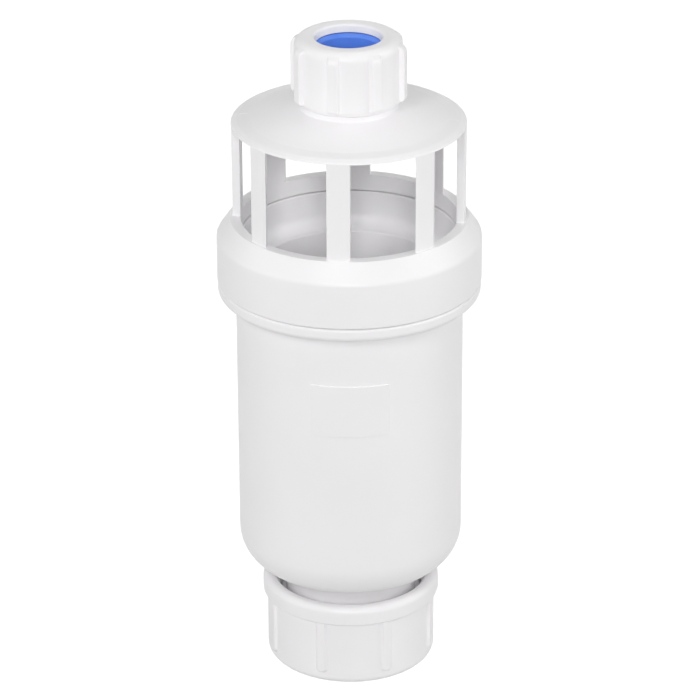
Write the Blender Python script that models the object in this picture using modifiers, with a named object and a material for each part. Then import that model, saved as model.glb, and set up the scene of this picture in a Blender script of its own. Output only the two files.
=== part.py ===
"""A plumber's tundish: a white polypropylene drain fitting with an open air gap.

Water drips from the pipe in the upper compression nut, falls through the windowed
cage, and runs down a sprung one-way valve into the pipe in the lower compression nut.
Every length is in metres. Z is up, and the origin is at the centre of the foot.
"""

import math

import bmesh
import bpy
from mathutils import Matrix, Vector

# Fits
CLEARANCE = 0.0003
FACETS_LARGE = 40
FACETS_MEDIUM = 32
FACETS_SMALL = 24
GAP_STEPS = 4

# Small edge breaks
EDGE = 0.0004
CHAMFER = 0.0006
CUT_MARGIN = 0.0020

# Pipes that the nuts take
INLET_PIPE_RADIUS = 0.0110
OUTLET_PIPE_RADIUS = 0.0180
PIPE_PLAY = 0.0003
SEAL_GRIP = 0.00005

# Outlet spigot on the body, and the nut's bore round its thread
OUTLET_SPIGOT_WALL = 0.0059
OUTLET_THREAD_SPACE = 0.0017
OUTLET_THREAD_LENGTH = 0.0145
OUTLET_SOCKET_DEPTH = 0.0185
THROAT_STEP = 0.0020
NECK_UNDERCUT = 0.0018
NECK_FILLET = 0.0012

# Outlet nut, which is also the foot
OUTLET_NUT_WALL = 0.0030
OUTLET_NUT_HEIGHT = 0.0303
OUTLET_NUT_LIP = 0.0030
OUTLET_NUT_FOOT_ROUND = 0.0018
OUTLET_BEAD_PROUD = 0.0015
OUTLET_BEAD_HEIGHT = 0.0068
OUTLET_BEAD_ROUND = 0.0020
OUTLET_LEAD_IN = 0.0018
OUTLET_RIBS = 8
OUTLET_RIB_WIDTH = 0.0030
OUTLET_RIB_PROUD = 0.0009
OUTLET_RIB_ROUND = 0.0009
OUTLET_RIB_FOOT = 0.0042
OUTLET_RIB_ANGLE = -20.5

# Washer and cone seal in the outlet nut
OUTLET_WASHER_THICKNESS = 0.0016
OUTLET_SEAL_FLANGE = 0.0030
OUTLET_SEAL_PLAY = 0.0013
OUTLET_CONE_HEIGHT = 0.0050
OUTLET_CONE_BASE_WALL = 0.0036
OUTLET_CONE_TIP_WALL = 0.0017

# Cage: inlet spigot, roof, pillars, ring and collar in one moulding
CAGE_RADIUS = 0.0390
CAGE_WALL = 0.0028
RING_DEPTH = 0.0058
WINDOW_HEIGHT = 0.0334
PILLAR_WIDTH = 0.0082
CORNER_PILLAR_FROM = 39.5
CORNER_PILLAR_TO = 51.4
PULL_ANGLE = -5.3
COLLAR_REACH = 0.0054
COLLAR_WALL = 0.0034
SHOULDER_LEDGE = 0.0007
SHOULDER_DROP = 0.0072
SHOULDER_SLOPE = 53.5
SHOULDER_ROUND = 0.0026
ROOF_EDGE_HEIGHT = 0.0020
ROOF_EDGE_ROUND = 0.0022
ROOF_RIM_WIDTH = 0.0060
ROOF_RISE = 0.0049
ROOF_THICKNESS = 0.0026
BOSS_SETBACK = 0.00085
BOSS_HEIGHT = 0.0009
INLET_SPIGOT_WALL = 0.0029
INLET_THREAD_SPACE = 0.0012
INLET_SOCKET_DEPTH = 0.0152
PIPE_STOP = 0.0016
DRIP_WALL = 0.0023
DRIP_DROP = 0.0084

# Bowl-shaped body
BODY_SETBACK = 0.0008
BODY_WALL = 0.0026
BODY_HEIGHT = 0.1054
BODY_CORNER = 0.0139
BODY_NECK_GAP = 0.0051
BODY_BEAD_SETBACK = 0.0002
BODY_BEAD_HEIGHT = 0.0046
BODY_BEAD_ROUND = 0.0020
BODY_BEAD_TOP_ROUND = 0.0009
BODY_BEAD_COVE = 0.0012
RIM_HEIGHT = 0.0143
RIM_WALL = 0.0025

# Snap that holds the cage's collar on the body's rim
SNAP_HEIGHT = 0.0070
SNAP_LENGTH = 0.0020
SNAP_PROUD = 0.0006

# Inlet nut and its cone seal
INLET_NUT_WALL = 0.00235
INLET_NUT_HEIGHT = 0.0223
INLET_NUT_LIP = 0.0032
INLET_NUT_HOLE_PLAY = 0.0005
INLET_NUT_ROUND = 0.0030
INLET_NUT_TAPER = 0.0004
INLET_RIBS = 8
INLET_RIB_WIDTH = 0.0037
INLET_RIB_PROUD = 0.0016
INLET_RIB_ROUND = 0.0011
INLET_RIB_ROOT = 0.0012
INLET_RIB_FOOT = 0.0015
INLET_RIB_TOP = 0.0024
INLET_RIB_ANGLE = -15.7
INLET_SEAL_FLANGE = 0.0026
INLET_SEAL_CHAMFER = 0.0013
INLET_CONE_HEIGHT = 0.0030
INLET_CONE_BASE_WALL = 0.0019
INLET_CONE_TIP_WALL = 0.0009

# Valve carrier: the cup under the cage that leads the water to the valve
CARRIER_LIP = 0.0007
CARRIER_FLANGE = 0.0016
CARRIER_FILLET = 0.0048
CARRIER_DEPTH = 0.0124
SKIRT_GAP = 0.0016
SKIRT_TAIL = 0.0024
WELL_DRAFT = 0.0011
WELL_DEPTH = 0.0203
WELL_WALL = 0.0022
FUNNEL_DEPTH = 0.0130
PORT_RADIUS = 0.0155
PORT_WALL = 0.0035
PORT_LENGTH = 0.0060
O_RING_SECTION = 0.0017

# Sprung valve under the port
VALVE_SETBACK = 0.0004
VALVE_PLATE = 0.0024
VALVE_SEAL_THICKNESS = 0.0020
STEM_RADIUS = 0.0024
STEM_TAIL = 0.0018
VALVE_NECK_PROUD = 0.0007
VALVE_KNOB_PROUD = 0.0024
VALVE_KNOB_SHOULDER = 0.0017
VALVE_KNOB_HEIGHT = 0.0029
SPRING_LOCATOR_PROUD = 0.0026
SPRING_LOCATOR_HEIGHT = 0.0018
CLIP_PROUD = 0.0022
CLIP_THICKNESS = 0.0012
CLIP_GROOVE = 0.0007
SPRING_SPACE = 0.0188
SPRING_PLAY = 0.00085
SPRING_WIRE = 0.0007
SPRING_END_RISE = 0.00084
SPRING_ACTIVE_TURNS = 4
SPRING_POINTS_A_TURN = 10

# Guide basket that carries the spring and the stem
GUIDE_RING_WALL = 0.0025
GUIDE_RING_HEIGHT = 0.0047
GUIDE_SNAP_HEIGHT = 0.0038
GUIDE_SNAP_LENGTH = 0.0014
GUIDE_PLAY = 0.0040
GUIDE_WALL = 0.0020
GUIDE_FLOOR = 0.0022
GUIDE_WINDOW_DROP = 0.0062
GUIDE_WINDOW_SILL = 0.0023
GUIDE_LEGS = 4
GUIDE_LEG_ANGLE = 45.0
GUIDE_LEG_WIDTH = 0.0060
GUIDE_ARM_WIDTH = 0.0040
GUIDE_HUB_LAND = 0.00135
GUIDE_FLOOR_RIM = 0.0020
BUSH_WALL = 0.0027
BUSH_DROP = 0.0060

# Radii of the two pipe joints, worked out from the pipes
OUTLET_SOCKET = OUTLET_PIPE_RADIUS + PIPE_PLAY
OUTLET_THREAD_ROOT = OUTLET_SOCKET + OUTLET_SPIGOT_WALL
OUTLET_NUT_BORE = OUTLET_THREAD_ROOT + OUTLET_THREAD_SPACE
OUTLET_NUT_RADIUS = OUTLET_NUT_BORE + OUTLET_NUT_WALL
OUTLET_CONE_BASE = OUTLET_PIPE_RADIUS + OUTLET_CONE_BASE_WALL
OUTLET_CONE_TIP = OUTLET_PIPE_RADIUS + OUTLET_CONE_TIP_WALL
NECK_RADIUS = OUTLET_THREAD_ROOT - NECK_UNDERCUT
INLET_SOCKET = INLET_PIPE_RADIUS + PIPE_PLAY
INLET_THREAD_ROOT = INLET_SOCKET + INLET_SPIGOT_WALL
INLET_NUT_BORE = INLET_THREAD_ROOT + INLET_THREAD_SPACE
INLET_NUT_RADIUS = INLET_NUT_BORE + INLET_NUT_WALL
INLET_NUT_HOLE = INLET_PIPE_RADIUS + INLET_NUT_HOLE_PLAY
INLET_CONE_BASE = INLET_PIPE_RADIUS + INLET_CONE_BASE_WALL
INLET_CONE_TIP = INLET_PIPE_RADIUS + INLET_CONE_TIP_WALL
BOSS_RADIUS = INLET_NUT_RADIUS - BOSS_SETBACK
DRIP_BORE = INLET_SOCKET - PIPE_STOP
DRIP_RADIUS = DRIP_BORE + DRIP_WALL

# Radii of the housing, worked out from the cage
CAGE_BORE = CAGE_RADIUS - CAGE_WALL
SHOULDER_START = CAGE_RADIUS + SHOULDER_LEDGE
COLLAR_RADIUS = CAGE_RADIUS + COLLAR_REACH
COLLAR_BORE = COLLAR_RADIUS - COLLAR_WALL
RIM_RADIUS = COLLAR_BORE - CLEARANCE
RIM_BORE = RIM_RADIUS - RIM_WALL
BODY_RADIUS = CAGE_RADIUS - BODY_SETBACK
BODY_BORE = BODY_RADIUS - BODY_WALL
BODY_BEAD_RADIUS = COLLAR_RADIUS - BODY_BEAD_SETBACK
CARRIER_OUTER = RIM_BORE - CLEARANCE
CARRIER_BORE = CAGE_BORE - CARRIER_LIP
WELL_RADIUS = CARRIER_BORE - CARRIER_FILLET - EDGE
PORT_OUTER = PORT_RADIUS + PORT_WALL
VALVE_RADIUS = PORT_OUTER - VALVE_SETBACK
VALVE_NECK_RADIUS = STEM_RADIUS + VALVE_NECK_PROUD
VALVE_KNOB_RADIUS = STEM_RADIUS + VALVE_KNOB_PROUD
SPRING_LOCATOR_RADIUS = STEM_RADIUS + SPRING_LOCATOR_PROUD
CLIP_RADIUS = STEM_RADIUS + CLIP_PROUD
SPRING_RADIUS = SPRING_LOCATOR_RADIUS + SPRING_PLAY + SPRING_WIRE / 2
GUIDE_INNER_RADIUS = VALVE_RADIUS + GUIDE_PLAY
GUIDE_OUTER_RADIUS = GUIDE_INNER_RADIUS + GUIDE_WALL
GUIDE_HUB_RADIUS = SPRING_RADIUS + SPRING_WIRE / 2 + GUIDE_HUB_LAND

# Heights of the stack, worked out from the foot up
OUTLET_WASHER_BOTTOM = OUTLET_NUT_LIP + CLEARANCE
OUTLET_SEAL_BOTTOM = OUTLET_WASHER_BOTTOM + OUTLET_WASHER_THICKNESS + CLEARANCE
OUTLET_CONE_BOTTOM = OUTLET_SEAL_BOTTOM + OUTLET_SEAL_FLANGE
OUTLET_SPIGOT_END = OUTLET_CONE_BOTTOM + CLEARANCE
OUTLET_THREAD_TOP = OUTLET_SPIGOT_END + OUTLET_THREAD_LENGTH
OUTLET_SOCKET_TOP = OUTLET_SPIGOT_END + OUTLET_SOCKET_DEPTH
BODY_BOTTOM = OUTLET_NUT_HEIGHT + BODY_NECK_GAP
BODY_TOP = BODY_BOTTOM + BODY_HEIGHT
BODY_BEAD_BOTTOM = BODY_TOP - BODY_BEAD_HEIGHT
SOCKET_STEP_BOTTOM = BODY_BEAD_BOTTOM - BODY_BEAD_COVE + BODY_WALL * math.tan(math.pi / 8)
SOCKET_STEP_TOP = SOCKET_STEP_BOTTOM + RIM_BORE - BODY_BORE
RIM_TOP = BODY_TOP + RIM_HEIGHT
COLLAR_BOTTOM = BODY_TOP + CLEARANCE
SNAP_BOTTOM = BODY_TOP + SNAP_HEIGHT
SNAP_TOP = SNAP_BOTTOM + SNAP_LENGTH
CARRIER_LEDGE = RIM_TOP + CLEARANCE
CARRIER_TOP = CARRIER_LEDGE + CARRIER_FLANGE
RING_BOTTOM = CARRIER_TOP + CLEARANCE
WINDOW_SILL = RING_BOTTOM + RING_DEPTH
WINDOW_HEAD = WINDOW_SILL + WINDOW_HEIGHT
ROOF_RIM_TOP = WINDOW_HEAD + ROOF_EDGE_HEIGHT
ROOF_TOP = ROOF_RIM_TOP + ROOF_RISE
DRIP_BOTTOM = ROOF_TOP - DRIP_DROP
BOSS_TOP = ROOF_TOP + BOSS_HEIGHT
INLET_NUT_BOTTOM = BOSS_TOP + CLEARANCE
INLET_NUT_TOP = INLET_NUT_BOTTOM + INLET_NUT_HEIGHT
INLET_LIP_BOTTOM = INLET_NUT_TOP - INLET_NUT_LIP
INLET_SEAL_TOP = INLET_LIP_BOTTOM - CLEARANCE
INLET_CONE_TOP = INLET_SEAL_TOP - INLET_SEAL_FLANGE
INLET_SPIGOT_TOP = INLET_CONE_TOP - CLEARANCE
INLET_SOCKET_BOTTOM = INLET_SPIGOT_TOP - INLET_SOCKET_DEPTH
SKIRT_BOTTOM = SOCKET_STEP_TOP + SKIRT_GAP
O_RING_HEIGHT = SKIRT_BOTTOM + SKIRT_TAIL
SHELF = CARRIER_TOP - CARRIER_DEPTH
FUNNEL_TOP = SHELF - WELL_DEPTH
PORT_TOP = FUNNEL_TOP - FUNNEL_DEPTH
SEAT = PORT_TOP - PORT_LENGTH
GUIDE_SNAP_TOP = SEAT + GUIDE_SNAP_HEIGHT
GUIDE_SNAP_BOTTOM = GUIDE_SNAP_TOP - GUIDE_SNAP_LENGTH
VALVE_SEAL_TOP = SEAT - CLEARANCE
VALVE_PLATE_TOP = VALVE_SEAL_TOP - VALVE_SEAL_THICKNESS - CLEARANCE
VALVE_PLATE_BOTTOM = VALVE_PLATE_TOP - VALVE_PLATE
SPRING_SEAT = VALVE_PLATE_BOTTOM - SPRING_SPACE
GUIDE_BOTTOM = SPRING_SEAT - GUIDE_FLOOR
BUSH_BOTTOM = GUIDE_BOTTOM - BUSH_DROP
CLIP_TOP = BUSH_BOTTOM - CLEARANCE
CLIP_BOTTOM = CLIP_TOP - CLIP_THICKNESS
STEM_BOTTOM = CLIP_BOTTOM - STEM_TAIL


def clear_scene():
    """Remove every object that the scene starts with."""
    for obj in list(bpy.data.objects):
        bpy.data.objects.remove(obj, do_unlink=True)


def new_collection(name, hidden=False):
    """Add a collection to the scene."""
    collection = bpy.data.collections.new(name)
    collection.hide_render = hidden
    bpy.context.scene.collection.children.link(collection)
    return collection


def make_material(name, colour, roughness, metallic=0.0):
    """A Principled material of one colour."""
    material = bpy.data.materials.new(name)
    material.use_nodes = True
    shader = material.node_tree.nodes["Principled BSDF"]
    shader.inputs["Base Color"].default_value = (*colour, 1.0)
    shader.inputs["Roughness"].default_value = roughness
    shader.inputs["Metallic"].default_value = metallic
    return material


clear_scene()
PARTS = new_collection("tundish")
CUTTERS = new_collection("cutters", hidden=True)
WHITE_PLASTIC = make_material("white_polypropylene", (0.83, 0.82, 0.83), 0.42)
INNER_PLASTIC = make_material("natural_acetal", (0.74, 0.73, 0.70), 0.38)
BLUE_RUBBER = make_material("blue_rubber", (0.07, 0.17, 0.65), 0.5)
BLACK_RUBBER = make_material("black_rubber", (0.02, 0.02, 0.022), 0.6)
CLEAR_SILICONE = make_material("grey_silicone", (0.45, 0.46, 0.47), 0.45)
SPRING_STEEL = make_material("stainless_wire", (0.62, 0.61, 0.60), 0.25, 1.0)


def arc(centre_r, centre_z, radius, start, end, steps):
    """Points along part of a circle in a turned profile, angles in degrees, ends included."""
    points = []
    for i in range(steps + 1):
        angle = math.radians(start + (end - start) * i / steps)
        points.append((centre_r + radius * math.cos(angle), centre_z + radius * math.sin(angle)))
    return points


def place(obj, material, collection=PARTS):
    """Put an object in its collection and give it its material."""
    collection.objects.link(obj)
    obj.data.materials.append(material)
    return obj


def turned(name, profile, material, facets, closed=True):
    """Turn a profile of (radius, height) points about Z: down its outer side, up its inner side."""
    mesh = bpy.data.meshes.new(name)
    count = len(profile)
    edges = [(i, i + 1) for i in range(count - 1)]
    if closed:
        edges.append((count - 1, 0))
    mesh.from_pydata([(r, 0.0, z) for r, z in profile], edges, [])
    obj = place(bpy.data.objects.new(name, mesh), material)
    screw = obj.modifiers.new("Turn", "SCREW")
    screw.steps = facets
    screw.render_steps = facets
    screw.use_smooth_shade = True
    screw.use_merge_vertices = True
    screw.merge_threshold = 0.00001
    return obj


def helper(name, bm):
    """Turn a bmesh into a hidden helper object for a Boolean."""
    bmesh.ops.recalc_face_normals(bm, faces=bm.faces)
    mesh = bpy.data.meshes.new(name)
    bm.to_mesh(mesh)
    bm.free()
    obj = bpy.data.objects.new(name, mesh)
    obj.hide_render = True
    obj.display_type = "WIRE"
    CUTTERS.objects.link(obj)
    return obj


def combine(obj, other, operation):
    """Add a Boolean modifier that cuts or joins a helper."""
    boolean = obj.modifiers.new(operation.capitalize(), "BOOLEAN")
    boolean.operation = operation
    boolean.object = other
    boolean.solver = "EXACT"


def copies_round(bm, count):
    """Repeat everything in a bmesh at equal angles about Z."""
    first = bm.verts[:] + bm.edges[:] + bm.faces[:]
    for i in range(1, count):
        made = bmesh.ops.duplicate(bm, geom=first)["geom"]
        verts = [item for item in made if isinstance(item, bmesh.types.BMVert)]
        turn = Matrix.Rotation(2 * math.pi * i / count, 3, "Z")
        bmesh.ops.rotate(bm, verts=verts, cent=(0, 0, 0), matrix=turn)


def spoke_gaps(name, count, angle, bar, inner, outer, bottom, top):
    """Cutter for the gaps between parallel-sided bars, the first bar's middle at this angle from -Y."""
    pitch = 2 * math.pi / count
    start = math.radians(angle - 90)
    outline = []
    for radius, forward in ((inner, True), (outer, False)):
        half_bar = math.asin(bar / 2 / radius)
        first, last = start + half_bar, start + pitch - half_bar
        turns = [first + (last - first) * i / GAP_STEPS for i in range(GAP_STEPS + 1)]
        if not forward:
            turns.reverse()
        outline += [Vector((radius * math.cos(t), radius * math.sin(t), bottom)) for t in turns]
    bm = bmesh.new()
    face = bm.faces.new([bm.verts.new(point) for point in outline])
    raised = bmesh.ops.extrude_face_region(bm, geom=[face])["geom"]
    top_verts = [item for item in raised if isinstance(item, bmesh.types.BMVert)]
    bmesh.ops.translate(bm, verts=top_verts, vec=(0, 0, top - bottom))
    copies_round(bm, count)
    return helper(name, bm)


def rib_ring(name, count, angle, width, inner, outer, bottom, top, rounding):
    """Upright grip ribs round a nut, with rounded outer edges and ends."""
    bm = bmesh.new()
    bmesh.ops.create_cube(bm, size=1.0)
    bmesh.ops.scale(bm, verts=bm.verts, vec=(outer - inner, width, top - bottom))
    centre = ((outer + inner) / 2, 0, (top + bottom) / 2)
    bmesh.ops.translate(bm, verts=bm.verts, vec=centre)
    middle = (outer + inner) / 2
    shown = [e for e in bm.edges if all(v.co.x > middle for v in e.verts)]
    bmesh.ops.bevel(bm, geom=shown, offset=rounding, segments=2, profile=0.5, affect="EDGES")
    turn = Matrix.Rotation(math.radians(angle - 90), 3, "Z")
    bmesh.ops.rotate(bm, verts=bm.verts, cent=(0, 0, 0), matrix=turn)
    copies_round(bm, count)
    return helper(name, bm)


def mouth_profile(face, depth, base, tip, bore, upward):
    """Conical seat for a cone seal in a spigot's end, from its outer edge inwards."""
    inward = -1 if upward else 1
    return [
        (base + CLEARANCE, face),
        (tip + CLEARANCE, face + inward * depth),
        (bore, face + inward * depth),
    ]


def make_outlet_nut():
    """Compression nut for the waste pipe, with a bead round its open end and eight ribs."""
    bead = OUTLET_NUT_RADIUS + OUTLET_BEAD_PROUD
    crease = OUTLET_NUT_HEIGHT - OUTLET_BEAD_HEIGHT
    round_r = bead - OUTLET_BEAD_ROUND
    hole = OUTLET_SOCKET
    foot_r = OUTLET_NUT_RADIUS - OUTLET_NUT_FOOT_ROUND
    profile = [(OUTLET_NUT_BORE, OUTLET_NUT_HEIGHT - OUTLET_LEAD_IN)]
    profile += [(OUTLET_NUT_BORE + OUTLET_LEAD_IN / 2, OUTLET_NUT_HEIGHT - EDGE)]
    profile += arc(round_r, OUTLET_NUT_HEIGHT - OUTLET_BEAD_ROUND, OUTLET_BEAD_ROUND, 90, 0, 2)
    profile += [(bead, crease + CHAMFER), (bead - CHAMFER, crease), (OUTLET_NUT_RADIUS, crease)]
    profile += arc(foot_r, OUTLET_NUT_FOOT_ROUND, OUTLET_NUT_FOOT_ROUND, 0, -90, 2)
    profile += [(hole + EDGE, 0), (hole, EDGE), (hole, OUTLET_NUT_LIP), (OUTLET_NUT_BORE, OUTLET_NUT_LIP)]
    nut = turned("outlet_nut", profile, WHITE_PLASTIC, FACETS_LARGE)
    ribs = rib_ring(
        "outlet_ribs", OUTLET_RIBS, OUTLET_RIB_ANGLE, OUTLET_RIB_WIDTH,
        OUTLET_NUT_RADIUS - CHAMFER, OUTLET_NUT_RADIUS + OUTLET_RIB_PROUD,
        OUTLET_RIB_FOOT, crease + CHAMFER, OUTLET_RIB_ROUND,
    )
    combine(nut, ribs, "UNION")


def make_outlet_washer():
    """Slip washer that lets the nut turn without dragging the seal."""
    inner = OUTLET_SOCKET
    outer = OUTLET_NUT_BORE - CLEARANCE
    top = OUTLET_WASHER_BOTTOM + OUTLET_WASHER_THICKNESS
    profile = [(inner, top), (outer, top), (outer, OUTLET_WASHER_BOTTOM), (inner, OUTLET_WASHER_BOTTOM)]
    turned("outlet_slip_washer", profile, INNER_PLASTIC, FACETS_MEDIUM)


def make_outlet_seal():
    """Cone seal that is pressed into the outlet spigot's mouth."""
    inner = OUTLET_PIPE_RADIUS - SEAL_GRIP
    outer = OUTLET_NUT_BORE - OUTLET_SEAL_PLAY
    tip = OUTLET_CONE_BOTTOM + OUTLET_CONE_HEIGHT
    profile = [
        (inner, tip),
        (OUTLET_CONE_TIP, tip),
        (OUTLET_CONE_BASE, OUTLET_CONE_BOTTOM),
        (outer, OUTLET_CONE_BOTTOM),
        (outer, OUTLET_SEAL_BOTTOM),
        (inner, OUTLET_SEAL_BOTTOM),
    ]
    turned("outlet_seal", profile, BLACK_RUBBER, FACETS_MEDIUM)


def make_body():
    """Body moulding: rim, bead, bowl with a rounded bottom, neck and threaded outlet spigot."""
    bead = BODY_BEAD_RADIUS
    snap_r = RIM_RADIUS + SNAP_PROUD
    corner_r = BODY_RADIUS - BODY_CORNER
    corner_z = BODY_BOTTOM + BODY_CORNER
    throat = OUTLET_SOCKET - THROAT_STEP
    floor = BODY_BOTTOM + BODY_WALL
    cove = BODY_BEAD_COVE
    profile = [(RIM_BORE, RIM_TOP), (RIM_RADIUS, RIM_TOP)]
    profile += [(RIM_RADIUS, SNAP_TOP + EDGE), (snap_r, SNAP_TOP - EDGE)]
    profile += [(snap_r, SNAP_BOTTOM + EDGE), (RIM_RADIUS, SNAP_BOTTOM), (RIM_RADIUS, BODY_TOP)]
    top_round = BODY_BEAD_TOP_ROUND
    profile += arc(bead - top_round, BODY_TOP - top_round, top_round, 90, 0, 1)
    profile += arc(bead - BODY_BEAD_ROUND, BODY_BEAD_BOTTOM + BODY_BEAD_ROUND, BODY_BEAD_ROUND, 0, -90, 2)
    profile += arc(BODY_RADIUS + cove, BODY_BEAD_BOTTOM - cove, cove, 90, 180, 1)
    profile += arc(corner_r, corner_z, BODY_CORNER, 0, -90, 6)
    profile += arc(NECK_RADIUS + NECK_FILLET, BODY_BOTTOM - NECK_FILLET, NECK_FILLET, 90, 180, 1)
    profile += [(NECK_RADIUS, OUTLET_THREAD_TOP), (OUTLET_THREAD_ROOT - CHAMFER, OUTLET_THREAD_TOP)]
    profile += [(OUTLET_THREAD_ROOT, OUTLET_THREAD_TOP - CHAMFER)]
    profile += [(OUTLET_THREAD_ROOT, OUTLET_SPIGOT_END + CHAMFER)]
    profile += [(OUTLET_THREAD_ROOT - CHAMFER, OUTLET_SPIGOT_END)]
    profile += mouth_profile(
        OUTLET_SPIGOT_END, OUTLET_CONE_HEIGHT, OUTLET_CONE_BASE, OUTLET_CONE_TIP, OUTLET_SOCKET, upward=False
    )
    profile += [(OUTLET_SOCKET, OUTLET_SOCKET_TOP), (throat, OUTLET_SOCKET_TOP), (throat, floor)]
    profile += arc(corner_r, corner_z, BODY_CORNER - BODY_WALL, -90, 0, 3)
    profile += [(BODY_BORE, SOCKET_STEP_BOTTOM), (RIM_BORE, SOCKET_STEP_TOP)]
    turned("body", profile, WHITE_PLASTIC, FACETS_LARGE)


def window_blocks(name, bottom, top):
    """Cutter for the cage's eight windows, whose sides follow the mould's pull."""
    half_pillar = PILLAR_WIDTH / 2
    corner_from = CAGE_RADIUS * math.sin(math.radians(CORNER_PILLAR_FROM))
    corner_to = CAGE_RADIUS * math.sin(math.radians(CORNER_PILLAR_TO))
    reach = CAGE_RADIUS + CUT_MARGIN
    bm = bmesh.new()
    for across, along in (
        ((half_pillar, corner_from), (corner_from - CUT_MARGIN / 2, reach)),
        ((corner_to, reach), (half_pillar, corner_from + CUT_MARGIN / 2)),
    ):
        for side in (-1, 1):
            for end in (-1, 1):
                verts = bmesh.ops.create_cube(bm, size=1.0)["verts"]
                size = (across[1] - across[0], along[1] - along[0], top - bottom)
                centre = (side * sum(across) / 2, end * sum(along) / 2, (top + bottom) / 2)
                bmesh.ops.scale(bm, verts=verts, vec=size)
                bmesh.ops.translate(bm, verts=verts, vec=centre)
    turn = Matrix.Rotation(math.radians(PULL_ANGLE), 3, "Z")
    bmesh.ops.rotate(bm, verts=bm.verts, cent=(0, 0, 0), matrix=turn)
    return helper(name, bm)


def make_cage():
    """Cage moulding: inlet spigot, drip nozzle, roof, eight pillars, ring, shoulder and collar."""
    groove = COLLAR_BORE + SNAP_PROUD
    shoulder_bottom = WINDOW_SILL - SHOULDER_DROP
    profile = [(INLET_THREAD_ROOT - CHAMFER, INLET_SPIGOT_TOP)]
    profile += [(INLET_THREAD_ROOT, INLET_SPIGOT_TOP - CHAMFER)]
    profile += [(INLET_THREAD_ROOT, BOSS_TOP), (BOSS_RADIUS - EDGE, BOSS_TOP), (BOSS_RADIUS, BOSS_TOP - EDGE)]
    profile += [(BOSS_RADIUS, ROOF_TOP), (CAGE_RADIUS - ROOF_RIM_WIDTH, ROOF_RIM_TOP)]
    edge = ROOF_EDGE_ROUND
    profile += arc(CAGE_RADIUS - edge, ROOF_RIM_TOP - edge, edge, 90, 0, 2)
    profile += [(CAGE_RADIUS, WINDOW_SILL), (SHOULDER_START, WINDOW_SILL)]
    fall = SHOULDER_ROUND
    profile += arc(COLLAR_RADIUS - fall, shoulder_bottom, fall, 90 - SHOULDER_SLOPE, 0, 2)
    profile += [(COLLAR_RADIUS, COLLAR_BOTTOM + CHAMFER), (COLLAR_RADIUS - CHAMFER, COLLAR_BOTTOM)]
    profile += [(COLLAR_BORE, COLLAR_BOTTOM), (COLLAR_BORE, SNAP_BOTTOM - CLEARANCE)]
    profile += [(groove, SNAP_BOTTOM + EDGE - CLEARANCE), (groove, SNAP_TOP - EDGE + CLEARANCE)]
    profile += [(COLLAR_BORE, SNAP_TOP + EDGE + CLEARANCE)]
    profile += [(COLLAR_BORE, RING_BOTTOM), (CAGE_BORE, RING_BOTTOM), (CAGE_BORE, WINDOW_HEAD + EDGE)]
    profile += [(DRIP_RADIUS, ROOF_TOP - ROOF_THICKNESS), (DRIP_RADIUS - EDGE, DRIP_BOTTOM)]
    profile += [(DRIP_BORE, DRIP_BOTTOM), (DRIP_BORE, INLET_SOCKET_BOTTOM)]
    profile += [(INLET_SOCKET, INLET_SOCKET_BOTTOM)]
    mouth = mouth_profile(
        INLET_SPIGOT_TOP, INLET_CONE_HEIGHT, INLET_CONE_BASE, INLET_CONE_TIP, INLET_SOCKET, upward=True
    )
    profile += reversed(mouth)
    cage = turned("air_gap_cage", profile, WHITE_PLASTIC, FACETS_LARGE)
    windows = window_blocks("windows", WINDOW_SILL, WINDOW_HEAD)
    combine(cage, windows, "DIFFERENCE")


def make_inlet_nut():
    """Compression nut for the supply pipe, with a rounded top and eight broad ribs."""
    round_r = INLET_NUT_RADIUS - INLET_NUT_ROUND
    profile = [(INLET_NUT_HOLE, INLET_NUT_TOP - EDGE), (INLET_NUT_HOLE + EDGE, INLET_NUT_TOP)]
    profile += arc(round_r, INLET_NUT_TOP - INLET_NUT_ROUND, INLET_NUT_ROUND, 90, 0, 3)
    profile += [(INLET_NUT_RADIUS, INLET_NUT_BOTTOM + INLET_RIB_FOOT)]
    profile += [(INLET_NUT_RADIUS - INLET_NUT_TAPER, INLET_NUT_BOTTOM)]
    profile += [(INLET_NUT_BORE, INLET_NUT_BOTTOM), (INLET_NUT_BORE, INLET_LIP_BOTTOM)]
    profile += [(INLET_NUT_HOLE, INLET_LIP_BOTTOM)]
    nut = turned("inlet_nut", profile, WHITE_PLASTIC, FACETS_MEDIUM)
    ribs = rib_ring(
        "inlet_ribs", INLET_RIBS, INLET_RIB_ANGLE, INLET_RIB_WIDTH,
        INLET_NUT_RADIUS - INLET_RIB_ROOT, INLET_NUT_RADIUS + INLET_RIB_PROUD,
        INLET_NUT_BOTTOM + INLET_RIB_FOOT, INLET_NUT_TOP - INLET_RIB_TOP, INLET_RIB_ROUND,
    )
    combine(nut, ribs, "UNION")


def make_inlet_seal():
    """Blue cone seal that shows in the inlet nut's hole."""
    inner = INLET_PIPE_RADIUS - SEAL_GRIP
    outer = INLET_NUT_BORE - CLEARANCE
    tip = INLET_CONE_TOP - INLET_CONE_HEIGHT
    profile = [
        (inner + INLET_SEAL_CHAMFER / 2, INLET_SEAL_TOP),
        (outer, INLET_SEAL_TOP),
        (outer, INLET_CONE_TOP),
        (INLET_CONE_BASE, INLET_CONE_TOP),
        (INLET_CONE_TIP, tip),
        (inner, tip),
        (inner, INLET_SEAL_TOP - INLET_SEAL_CHAMFER),
    ]
    turned("inlet_seal", profile, BLUE_RUBBER, FACETS_MEDIUM)


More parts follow.
